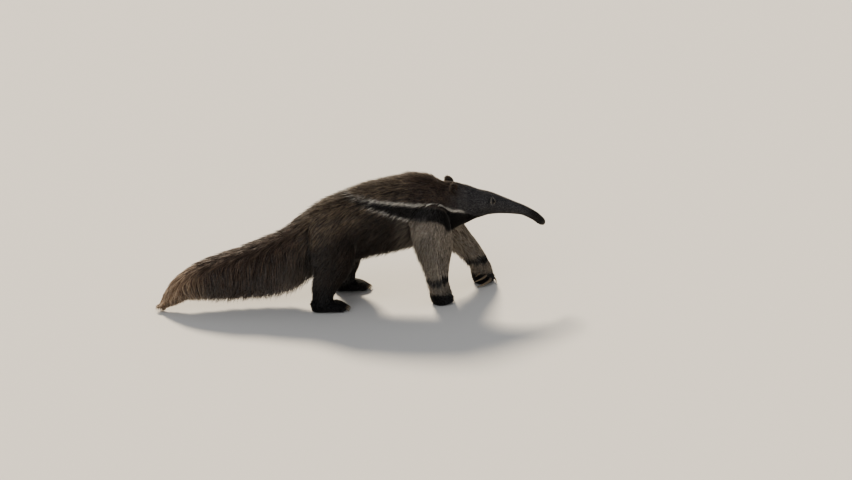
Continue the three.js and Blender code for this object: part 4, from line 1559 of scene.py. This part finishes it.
def off_floor(points: Array, soft: float = 16.0) -> Array:
    """Hair that would reach the floor turns along it instead: under a height, what is left of it falls off as
    e^(height - 1).

    Args:
        points: Places on the tufts.
        soft: That height.

    Returns:
        The moved places.
    """
    height = (points[..., 2] - FLOOR_MM) / soft
    low = FLOOR_MM + soft * np.exp(np.minimum(height, 1) - 1)
    return np.concatenate([points[..., :2], np.where(height < 1, low, points[..., 2])[..., None]], -1)


def shaded(root: Array, tip: Array, tone: Array, grizzle: Array, places: Sequence[float]) -> Array:
    """A tuft's colour at each place on its path: from its root's to its tip's colour as the share to the power 1.6,
    darker at the root, where other hair shades it.

    Args:
        root: The root's colour, for each tuft or for each of its places.
        tip: The tip's colour.
        tone: How light each tuft is.
        grizzle: How far each tuft's tip goes from the root's colour to the tip's.
        places: Shares of the length.

    Returns:
        Colours for each tuft and place.
    """
    share = np.asarray(places, float)
    root, tip = (one if one.ndim == 3 else one[:, None] for one in (root, tip))
    mix = (share**1.6)[None, :, None] * grizzle[:, None, None]
    dark = (0.55 + 0.45 * ease(0, 0.4, share))[None, :, None]
    return (root + mix * (tip - root)) * dark * tone[:, None, None]


@dataclass(frozen=True)
class Field:
    """A field of long hair on a coated part: its rows and angles, how many tufts, their length and width in
    millimetres, how far they turn down from the lie along the body in degrees, how near the outline their tips come,
    how far they stand off it, how strongly they gather in locks, and how wide a lock is."""

    rows: tuple[float, float]
    angles: tuple[float, float]
    count: int
    length: Rule
    width: Rule
    fall: Rule
    reach: tuple[float, float] = (0.35, 1.0)
    lift: float = 0.0
    gather: float = 0.45
    lock: float = 26.0


@dataclass(frozen=True)
class Disorder:
    """How unevenly long hair grows. A pair is the spread of single tufts and that of whole locks."""

    length: tuple[float, float] = (0.22, 0.12)  # as a share of it
    turn: tuple[float, float] = (7, 8)  # of the way that hair points, in degrees
    tone: tuple[float, float] = (0.16, 0.14)  # of how light it is
    patch: tuple[float, float] = (0.12, 60)  # the tone's spread over wider patches, and their width in millimetres
    top: float = 0.1  # of how near the outline a lock ends
    waver: float = 0.03  # of a lock to the side, as a share of its length
    stray: float = 1.6  # how far from its root a tuft takes its colour, in millimetres
    grizzle: tuple[float, float] = (0.7, 0.55)  # the mean share of the tip's colour, and its spread


class LongCoat:
    """Long hair on one coated part, in fields."""

    uneven = Disorder()

    def __init__(self, body: Body, coated: Coated, part: Part, markings: Markings, seed: int) -> None:
        """Takes the body, the coated part and which it is, the coat's pattern and a seed."""
        self.body, self.coated, self.part, self.markings = body, coated, part, markings
        self.rng = np.random.default_rng([SEED, seed])

    def roots(self, lay: Field) -> tuple[Array, Array]:
        """Roots spread evenly over the surface: even in the table's own numbers, then kept in the share that the
        surface there has of the largest, and clear of the other parts.

        Args:
            lay: The field.

        Returns:
            Rows and angles.
        """
        rng, core, n = self.rng, self.coated.core, 5 * lay.count
        row, angle = rng.uniform(*lay.rows, n), rng.uniform(*lay.angles, n)
        step = np.linalg.norm(core.centre.at(row, slope=True), axis=-1)
        area = step * np.linalg.norm(core.point(row, angle) - core.centre.at(row), axis=-1)
        even = rng.uniform(0, 1, n) < area / area.max()
        row, angle = row[even], angle[even]
        away = self.body.distances(core.point(row, angle))
        free = np.delete(away, [other is core for other in self.body.cores], 1).min(1) > -2
        return row[free][: lay.count], angle[free][: lay.count]

    def grow(self, lay: Field, places: Sequence[float]) -> Tufts:
        """Tufts of a field. A tuft runs from its root along the lie, turning down at the sides, and rises from the
        core towards the outline with the share sqrt of its way. Its end is drawn to that of its lock, whose cells
        are about a lock wide.

        Args:
            lay: The field.
            places: The shares of the length at which the path has points, from 0 to 1.

        Returns:
            The tufts.
        """
        rng, core, outline, uneven = self.rng, self.coated.core, self.coated.outline, self.uneven
        row, angle = self.roots(lay)
        n, t = len(row), np.array(places)[None]
        step = np.linalg.norm(core.centre.at(row, slope=True), axis=-1)
        radius = np.maximum(np.linalg.norm(outline.point(row, angle) - outline.centre.at(row), axis=-1), 12)
        cell_row = np.floor(row * step.mean() / (1.6 * lay.lock) + 0.37)
        cell_angle = np.floor(np.radians(angle) * radius.mean() / lay.lock + 0.5 * (cell_row % 2))
        dice = rng.uniform(-1, 1, (4096, 5))[(cell_row * 131 + cell_angle * 17).astype(int) % 4096]
        length = lay.length(row) * (1 + uneven.length[0] * rng.normal(size=n).clip(-2, 2))
        length = length * (1 + uneven.length[1] * dice[:, 0])
        sideways = np.cos(np.radians(angle))
        down = np.where(sideways >= 0, -1.0, 1.0) * np.minimum(np.abs(sideways) * 1.6, 1)
        own, lock = np.radians(uneven.turn)
        turn = np.radians(lay.fall(row)) * down + lock * dice[:, 1] + own * rng.normal(size=n)
        pull = lay.gather * (0.6 + 0.4 * dice[:, 2])
        middle_row = (cell_row + 0.5 - 0.37) * 1.6 * lay.lock / step.mean()
        middle_angle = np.degrees((cell_angle + 0.5 - 0.5 * (cell_row % 2)) * lay.lock / radius.mean())
        run = length * np.cos(turn) / step + pull * np.clip(middle_row - row, -0.4, 0.4)
        swing = np.degrees(length * np.sin(turn) / radius) + pull * np.clip(middle_angle - angle, -12, 12)
        rows = row[:, None] + run[:, None] * t
        past = np.maximum(rows - (self.coated.count - 0.02), 0)
        rows, angles = rows - past, angle[:, None] + swing[:, None] * t**1.15
        top = np.clip(rng.uniform(*lay.reach, n) * (1 + uneven.top * dice[:, 3]), 0, 1.15)
        rise = top[:, None] * np.sqrt(t) * (0.35 + 0.65 * t)
        inner, outer = core.point(rows, angles, -2.5 * (t == 0)), outline.point(rows, angles)
        spread = 0.45 * unit(outer - core.centre.at(rows)) * rng.uniform(0, 1, (n, 1, 1)) + core.frame(rows)[2]
        paths = inner + rise[..., None] * (outer - inner) + (0.3 * past * step[:, None])[..., None] * spread
        out = core.normal(row, angle)
        lift = lay.lift * rng.uniform(0.3, 1, n) * np.minimum(length / 55, 1) ** 1.5
        paths = paths + (lift[:, None] * t**1.3)[..., None] * out[:, None]
        waver = uneven.waver * length[:, None] * np.sin(np.pi * t) * dice[:, 4:5]
        paths = paths + waver[..., None] * unit(np.cross(out, paths[:, -1] - paths[:, 0]))[:, None]
        margin = (2 + 9 * t) * rng.uniform(0.4, 1, (n, 1))
        paths = off_floor(self.body.clear(paths, core, margin))
        stray = rng.normal(size=(n, 1, 3)).clip(-2, 2) * uneven.stray
        seen = inner[:, :1] + 0.85 * (inner - inner[:, :1]) + stray
        coat = self.markings.paint(seen.reshape(-1, 3), np.full(seen.shape[0] * seen.shape[1], self.part.value))
        (own, lock), (patch, wide) = uneven.tone, uneven.patch
        tone = 1 + own * rng.normal(size=n).clip(-2, 2) + lock * dice[:, 0] + patch * mottle(inner[:, 0], wide, 11)
        grizzle = np.clip(uneven.grizzle[0] + uneven.grizzle[1] * rng.normal(size=n), 0, 1.7)
        shades = shaded(*(colours.reshape(seen.shape) for colours in coat), tone, grizzle, places)
        unwrap = np.stack([row, (angle + 90) % 360], 1)
        return Tufts(paths, out, lay.width(row) * rng.uniform(0.7, 1.3, n), shades, unwrap)


PLACES = {4: (0, 0.35, 0.7, 1), 5: (0, 0.25, 0.5, 0.78, 1), 3: (0, 0.45, 1)}  # where a path has points
TAPER = {4: (0.5, 1.0, 0.75), 5: (0.5, 1.0, 0.95, 0.6), 3: (0.45, 1.0)}  # a tuft's width there, up to its tip


def by_row(rows: Sequence[float], values: Sequence[float]) -> Rule:
    """A value that changes along the part, in straight lines between the rows given."""
    return lambda row: np.interp(row, rows, values)


@dataclass(frozen=True)
class CloseField:
    """A field of short hair on the skin: for each vertex how densely it grows, from 0 to 1, how many tufts, their
    length in millimetres at given places, their width, how far they rise for their length, and a seed."""

    wanted: Array
    count: int
    length: Rule
    width: float
    lean: float
    seed: int


class Pelt:
    """The whole coat, piece by piece."""

    def __init__(self, body: Body, markings: Markings, hide: Mesh, sockets: list[EyeSocket]) -> None:
        """Makes the hair's materials and finds what each point of the skin belongs to.

        Args:
            body: The body.
            markings: The coat's pattern.
            hide: The finished skin.
            sockets: The eye sockets that hair keeps clear of.
        """
        self.body, self.markings, self.hide, self.sockets = body, markings, hide, sockets
        self.points, self.part = points_of(hide), body.nearest(points_of(hide))[0]
        self.grizzled = TuftHair("grizzled_hair").make()
        self.dark = TuftHair("dark_hair", roughness=0.5, specular=0.35, sheen=0.16).make()
        self.pale = TuftHair("pale_hair", roughness=0.7, specular=0.25, sheen=0.3).make()

    def trunk_coat(self) -> None:
        """Neck, mane, flanks and belly."""
        coat = LongCoat(self.body, self.body.trunk, Part.TRUNK, self.markings, 1)
        neck = by_row([9, 10, 11, 12, 13], [12, 17, 25, 32, 38])
        side = by_row([11.5, 12.5, 14, 16, 18.5], [30, 36, 54, 76, 96])
        mane = by_row([9.4, 10.2, 11.5, 13, 15, 18.5], [16, 34, 60, 78, 96, 110])
        belly = by_row([11.5, 13, 15, 18.5], [40, 66, 92, 120])
        fall = by_row([9, 12.5, 14, 16, 18, 19], [5, 7, 16, 26, 36, 44])
        width = by_row([9.2, 10.2, 12, 14, 19], [1.5, 2.2, 3.1, 3.8, 4.3])
        for word, low, high in (("right", -62, 68), ("left", 112, 242)):
            fields = [
                Field((8.9, 12.2), (low, high), 4200, neck, width, fall, (0.25, 0.9), 2.5, 0.3, 18),
                Field((12.0, 19.2), (low, high), 5600, side, width, fall, (0.3, 1.0), 4.0, 0.5),
            ]
            self.long_coat(f"flank_{word}", "dark_coat", self.dark, coat, fields)
        fields = [
            Field((9.3, 12.4), (62, 118), 2300, mane, width, fall, (0.4, 1.15), 19.0, 0.3, 16),
            Field((12.2, 19.2), (62, 118), 3800, mane, width, fall, (0.4, 1.1), 12.0),
        ]
        self.long_coat("mane", "brown_coat", self.grizzled, coat, fields)
        fields = [
            Field((8.9, 12.4), (242, 298), 1500, neck, width, fall, (0.3, 1.0), 4.0, 0.45, 20),
            Field((12.2, 19.2), (236, 304), 3400, belly, width, fall, (0.35, 1.0), 4.0, 0.55, 30),
        ]
        self.long_coat("belly", "dark_coat", self.dark, coat, fields)

    def tail_coat(self) -> None:
        """The tail's brush: a parting along the top, long hair that falls to both sides, and the tuft at its end."""
        coat = LongCoat(self.body, self.body.trunk, Part.TRUNK, self.markings, 2)
        top = by_row([18.6, 20, 24, 27], [110, 120, 130, 90])
        side = by_row([18.6, 20, 24, 26, 27], [112, 180, 150, 100, 60])
        under = by_row([18.6, 20, 24, 27], [110, 170, 130, 50])
        across, back = by_row([18, 19, 20.5, 25.5, 27], [36, 46, 62, 58, 24]), by_row([18, 27], [20, 26])
        width = by_row([18.6, 20, 25, 27], [4.4, 4.9, 4.8, 3.6])
        for word, low, high in (("right", -40, 74), ("left", 106, 220)):
            fields = [Field((18.7, 26.95), (low, high), 4880, side, width, across, (0.3, 1.0), 3.0, 0.6, 34)]
            self.long_coat(f"tail_{word}", "brown_coat", self.grizzled, coat, fields, 5)
        fields = [
            Field((18.7, 26.95), (66, 114), 1800, top, width, back, (0.4, 1.05), 6.0, 0.5, 26),
            Field((18.9, 26.95), (218, 322), 2850, under, width, back, (0.3, 1.0), 2.0, 0.6, 34),
        ]
        self.long_coat("tail_middle", "brown_coat", self.grizzled, coat, fields, 5)

    def leg_coats(self) -> None:
        """Each leg's coat, which leaves the body along the flank's and turns down, longest in the fringe behind."""
        for number, leg in enumerate(self.body.legs):
            fore = leg.part is Part.FORELEG
            coat = LongCoat(self.body, leg.coated, leg.part, self.markings, 3 + number)
            rows, slot, material, loose = (0.1, 6.4), "pale_coat", self.pale, 4.0
            length = by_row([0.5, 2, 3, 5, 6.4], [20, 28, 30, 24, 12])
            fringe = by_row([0.5, 2.4, 3.4, 4.8, 5.4], [34, 90, 104, 66, 22])
            width, fall = by_row([0, 6], [3.1, 2.9]), by_row([0, 1.2, 2.6, 4], [50, 38, 12, 0])
            if not fore:
                rows, slot, material, loose = (0.1, 5.3), "dark_coat", self.dark, 9.0
                length = by_row([1, 3, 4.6, 5.3], [76, 80, 52, 22])
                fringe = by_row([1, 3, 4.6, 5.3], [96, 120, 84, 38])
                width = by_row([0, 4, 5.3], [4.4, 4.0, 2.8])
            fields = [
                Field(rows, (-20, 200), 2600, length, width, fall, (0.4, 1.12), loose, 0.45, 20),
                Field(rows, (180, 360), 2400, fringe, width, fall, (0.4, 1.12), 15.0, 0.6, 26),
            ]
            if fore:
                fields.append(Field((0.5, 2.7), (-20, 200), 620, length, width, fall, (0.3, 1.0), 2.0, 0.45, 18))
            self.long_coat(leg.name, slot, material, coat, fields)

    def long_coat(
        self, name: str, slot: str, material: Material, coat: LongCoat, fields: list[Field], places: int = 4
    ) -> None:
        """Grows fields, in the order of their random numbers, and dresses them as one piece named coat_ and name."""
        tufts = merged([coat.grow(lay, PLACES[places]) for lay in fields])
        dress(tufts.piece(f"coat_{name}"), material, slot)

    def short_coat(self, lay: CloseField) -> Tufts:
        """Short hair rooted on the skin's own triangles, picked by their area. A tuft leaves along the lie, which
        runs back on the trunk, down on the legs and ahead on the feet, and rises by its lean.

        Args:
            lay: The field.

        Returns:
            The tufts.
        """
        rng, count = np.random.default_rng([SEED, lay.seed]), lay.count
        self.hide.calc_loop_triangles()
        corner = read(self.hide.loop_triangles, "vertices", 3, np.int32)
        a, b, c = (self.points[corner[:, i]] for i in range(3))
        area = np.linalg.norm(np.cross(b - a, c - a), axis=1) * lay.wanted[corner].mean(1)
        pick = rng.choice(len(corner), count, p=area / area.sum())
        u, v = rng.uniform(0, 1, (2, count))
        over = u + v > 1
        u, v = np.where(over, 1 - u, u)[:, None], np.where(over, 1 - v, v)[:, None]
        at = a[pick] + u * (b - a)[pick] + v * (c - a)[pick]
        normal = unit(read(self.hide.vertex_normals, "vector")[corner[pick]].mean(1))
        part, _ = self.body.nearest(at)
        trunk, low_foot = self.body.trunk.core, (at[:, 2] < 60)[:, None]
        on_leg = (part >= Part.FORELEG.value)[:, None]
        along = trunk.frame(trunk.locate(at)[0])[2]
        way = np.where(on_leg, np.where(low_foot, [0.8, 0, -0.5], [0, 0, -1.0]), along)
        way = way + 0.16 * rng.normal(size=(count, 3))
        way = unit(way - dot(way, normal)[:, None] * normal)
        size = (lay.length(at) * (1 + 0.2 * rng.normal(size=count).clip(-2, 2)))[:, None]
        rise = lay.lean * rng.uniform(0.5, 1.3, count)[:, None]
        steps = [at + size * (t * way + rise * t**1.2 * normal) - (0.9 * (t == 0)) * normal for t in PLACES[3]]
        paths = np.maximum(np.stack(steps, 1), [-1e4, -1e4, FLOOR_MM + 0.4])
        tone = 1 + 0.15 * rng.normal(size=count).clip(-2, 2) + 0.14 * mottle(at, 26, 5)
        grizzle = np.clip(0.45 + 0.75 * rng.normal(size=count), 0, 1.9)
        shades = shaded(*self.markings.paint(at, part), tone, grizzle, PLACES[3])
        turn = np.arctan2(at[:, 1] - at[:, 1].mean(), at[:, 2] - at[:, 2].mean())
        unwrap = np.stack([at[:, 0], turn], 1)
        return Tufts(paths, normal, lay.width * rng.uniform(0.7, 1.3, count), shades, unwrap)

    def head_coat(self) -> None:
        """The close coat of the face and cheeks, clear of the eyes, the mouth and the bare tip of the snout."""
        x, y, z = self.points.T
        bare = read(self.hide.attributes["bare"].data, "value", 1)[:, 0]
        wanted = ease(476, 462, x) * ease(118, 138, x) * (z > 280) * (bare < 0.2)
        for socket in self.sockets:
            along, across, up = socket.place(self.points)
            wanted = wanted * np.where(up > -8, ease(0.98, 1.2, np.hypot(along / 8.8, across / 5.8)), 1)
            wanted = wanted * (1 + 1.2 * (up > -8) * ease(30, 14, np.hypot(along, 1.2 * across)))
        wanted = wanted * (0.75 + 0.9 * ease(300, 460, x))

        def length(at: Array) -> Array:
            """Hair from 2.6 mm on the snout to 15 mm on the cheeks, shorter round the eyes.

            Args:
                at: Places on the skin.

            Returns:
                Millimetres for each.
            """
            size = np.interp(at[:, 0], [120, 200, 300, 400, 470], [15, 10.5, 7, 4.5, 2.6])
            for socket in self.sockets:
                along, across, up = socket.place(at)
                size = size * (1 - 0.6 * (up > -8) * ease(24, 10, np.hypot(along, 1.2 * across)))
            return size

        for number, side in enumerate(Side):
            half = wanted * (y * side.value > -3)
            tufts = self.short_coat(CloseField(half, 12500, length, 1.25, 0.22, 21 + number))
            dress(tufts.piece(f"coat_face_{side.word}"), self.grizzled, "grey_coat")

    def paw_coats(self) -> None:
        """The short dark hair of the paws."""
        z, height = self.points[:, 2], by_row([0, 30, 100], [6, 11, 16])
        for number, (kind, word, top) in enumerate(((Part.FORELEG, "forepaws", 104), (Part.HINDLEG, "hindpaws", 86))):
            wanted = (self.part == kind.value) * ease(top, top - 14, z) * ease(3, 10, z)
            lay = CloseField(wanted, 4200, lambda at: height(at[:, 2]), 2.3, 0.3, 31 + number)
            dress(self.short_coat(lay).piece(f"coat_{word}"), self.dark, "dark_coat")

    def lashes(self) -> None:
        """A row of short lashes along the edge of each upper lid, that stand out and bend down."""
        rng, count, sets = np.random.default_rng([SEED, 51]), 46, []
        for socket in self.sockets:
            centre, long, tall, out = socket.axes()
            share = rng.uniform(-0.85, 0.9, count)[:, None]
            along, across = socket.slit[0] * share, socket.slit[1] * (1 - share**2) + 0.6
            high = socket.lid[2] * np.sqrt(1 - (along / socket.lid[0]) ** 2 - (across / socket.lid[1]) ** 2)
            at = centre + along * long + across * tall + high * out
            way = unit(0.8 * out + 0.35 * tall + 0.4 * share * long + 0.12 * rng.normal(size=(count, 3)))
            size = rng.uniform(3.5, 6, (count, 1))
            steps = [at + size * (t * way - 0.5 * t**2 * tall) - 0.5 * (t == 0) * out for t in PLACES[3]]
            coat = (np.tile(linear(shade), (count, 1)) for shade in self.markings.shades.lash)
            shades = shaded(*coat, np.ones(count), np.ones(count), PLACES[3])
            unwrap = np.stack([share[:, 0], np.full(count, float(socket.side.value))], 1)
            normal = np.tile(tall, (count, 1))
            sets.append(Tufts(np.stack(steps, 1), normal, rng.uniform(0.3, 0.5, count), shades, unwrap))
        dress(merged(sets).piece("coat_lashes"), self.dark, "dark_coat")

    def ear_coat(self, ears: list[Ear]) -> None:
        """Hair on the backs and rims of the ears, and a little in their cups.

        Args:
            ears: The ears.
        """
        rng, count, on_back, outside, sets = np.random.default_rng([SEED, 41]), 900, 600, 760, []
        number = np.arange(count)
        for ear in ears:
            centre, deep, wide, tall = ear.axes()
            turn = rng.uniform(0, 2 * np.pi, count)
            lift = np.radians(np.where(number < on_back, rng.uniform(-80, 8, count), rng.uniform(2, 20, count)))
            x, y, z = np.cos(lift) * np.cos(turn), np.cos(lift) * np.sin(turn), np.sin(lift)
            away = mixed((x * ear.wide, y * ear.tall, z * ear.deep), (wide, tall, deep))
            normal = unit(mixed((x / ear.wide, y / ear.tall, z / ear.deep), (wide, tall, deep)))
            way = tall * 0.6 + unit(away) * 0.9 - 0.3 * deep + 0.25 * rng.normal(size=(count, 3))
            way = unit(way - 0.8 * dot(way, normal)[:, None] * normal)
            size = rng.uniform(5, 11, count)[:, None]
            in_cup = (number > outside)[:, None]
            cup = centre + away * rng.uniform(0.35, 0.8, (count, 1)) - 0.55 * ear.deep * deep
            at = np.where(in_cup, cup, centre + 0.97 * away)
            way = np.where(in_cup, unit(0.8 * tall + 0.5 * deep + 0.3 * rng.normal(size=(count, 3))), way)
            paths = np.stack([at + size * (t * way + 0.25 * t * normal) for t in PLACES[3]], 1)
            coat = (np.tile(linear(shade), (count, 1)) for shade in self.markings.shades.ear)
            shades = shaded(*coat, rng.uniform(0.8, 1.2, count), rng.uniform(0, 1.4, count), PLACES[3])
            unwrap = np.stack([turn + 10 * (ear.side is Side.LEFT), lift], 1)
            sets.append(Tufts(paths, normal, rng.uniform(0.9, 1.5, count), shades, unwrap))
        dress(merged(sets).piece("coat_ears"), self.grizzled, "brown_coat")

    def build(self, ears: list[Ear]) -> None:
        """Makes the whole coat.

        Args:
            ears: The ears that hair grows on.
        """
        self.head_coat()
        self.lashes()
        self.ear_coat(ears)
        self.trunk_coat()
        self.tail_coat()
        self.leg_coats()
        self.paw_coats()


@dataclass(frozen=True)
class Lamp:
    """An even light from far off: where it stands, in degrees as for the camera, its watts to a square metre, how
    large it looks from the animal, in degrees, which softens its shadows, and its colour."""

    name: str
    azimuth: float
    elevation: float
    strength: float
    spread: float
    tint: str


@dataclass(frozen=True)
class Studio:
    """A plain pale floor, soft light from large lamps and the camera at the photograph's angle."""

    target: tuple[float, float, float] = (0.308, -0.014, 0.253)
    azimuth: float = -10.0
    elevation: float = 20.0
    distance: float = 14.0
    lens: float = 139.0
    half_floor_mm: float = 60000.0
    under_soles_mm: float = 0.6
    sky: tuple[str, float] = ("#e9ebef", 0.44)
    lamps: tuple[Lamp, ...] = (
        Lamp("key", 188, 36, 5.4, 12, "#ffefd6"),  # warm, from above and behind
        Lamp("fill", -35, 38, 0.6, 50, "#f6f8ff"),  # soft, from the front
    )

    @staticmethod
    def aimed(name: str, data: bpy.types.ID, azimuth: float, elevation: float) -> tuple[Object, Array]:
        """Adds a camera or a lamp that looks at the animal from an azimuth and an elevation in degrees.

        Args:
            name: Its name.
            data: The camera's or the lamp's data.
            azimuth: 0 on the animal's right, growing towards its head.
            elevation: Degrees above level.

        Returns:
            The object and the direction from the animal to it.
        """
        a, e, made = np.radians(azimuth), np.radians(elevation), linked(name, data)
        back = np.array([np.sin(a) * np.cos(e), -np.cos(a) * np.cos(e), np.sin(e)])
        made.rotation_mode = "QUATERNION"
        made.rotation_quaternion = Vector(-back).to_track_quat("-Z", "Y")
        return made, back

    def build(self) -> None:
        """Places the camera, the floor and the lights."""
        lens = bpy.data.cameras.new("camera")
        lens.lens, lens.clip_end = self.lens, 200
        camera, back = self.aimed("camera", lens, self.azimuth, self.elevation)
        camera.location = np.array(self.target) + self.distance * back
        bpy.context.scene.camera = camera

        corners = np.array([[-1, -1, 0], [1, -1, 0], [1, 1, 0], [-1, 1, 0]]) * self.half_floor_mm
        level = ORIGIN_MM * [1, 1, 0] + [0, 0, self.under_soles_mm]
        floor = object_from("floor", corners - level, np.array([[0, 1, 2, 3]]), smooth=False)
        floor.data.materials.append(Backdrop().make())

        world = bpy.data.worlds.new("soft_sky")
        world.use_nodes = True
        background = world.node_tree.nodes["Background"]
        background.inputs["Color"].default_value = (*linear(self.sky[0]), 1)
        background.inputs["Strength"].default_value = self.sky[1]
        bpy.context.scene.world = world
        for lamp in self.lamps:
            light = bpy.data.lights.new(lamp.name, "SUN")
            light.energy, light.angle, light.color = lamp.strength, np.radians(lamp.spread), linear(lamp.tint)
            self.aimed(lamp.name, light, lamp.azimuth, lamp.elevation)
        bpy.context.scene.view_settings.look = "AgX - Medium High Contrast"


def main() -> None:
    """Builds the animal part by part."""
    Studio().build()
    body, markings = Body(), Markings()
    sockets = [EyeSocket(side, body.trunk.core) for side in Side]
    skin = Hide(body, sockets).build(markings)
    ears = [Ear(side) for side in Side]
    for ear in ears:
        ear.build()
    for socket in sockets:
        Eye(socket).build()
    horn = ClawHorn().make()
    for leg in body.legs:
        Claws(leg).build(horn)
    Pelt(body, markings, skin.data, sockets).build(ears)


if __name__ == "__main__":
    main()
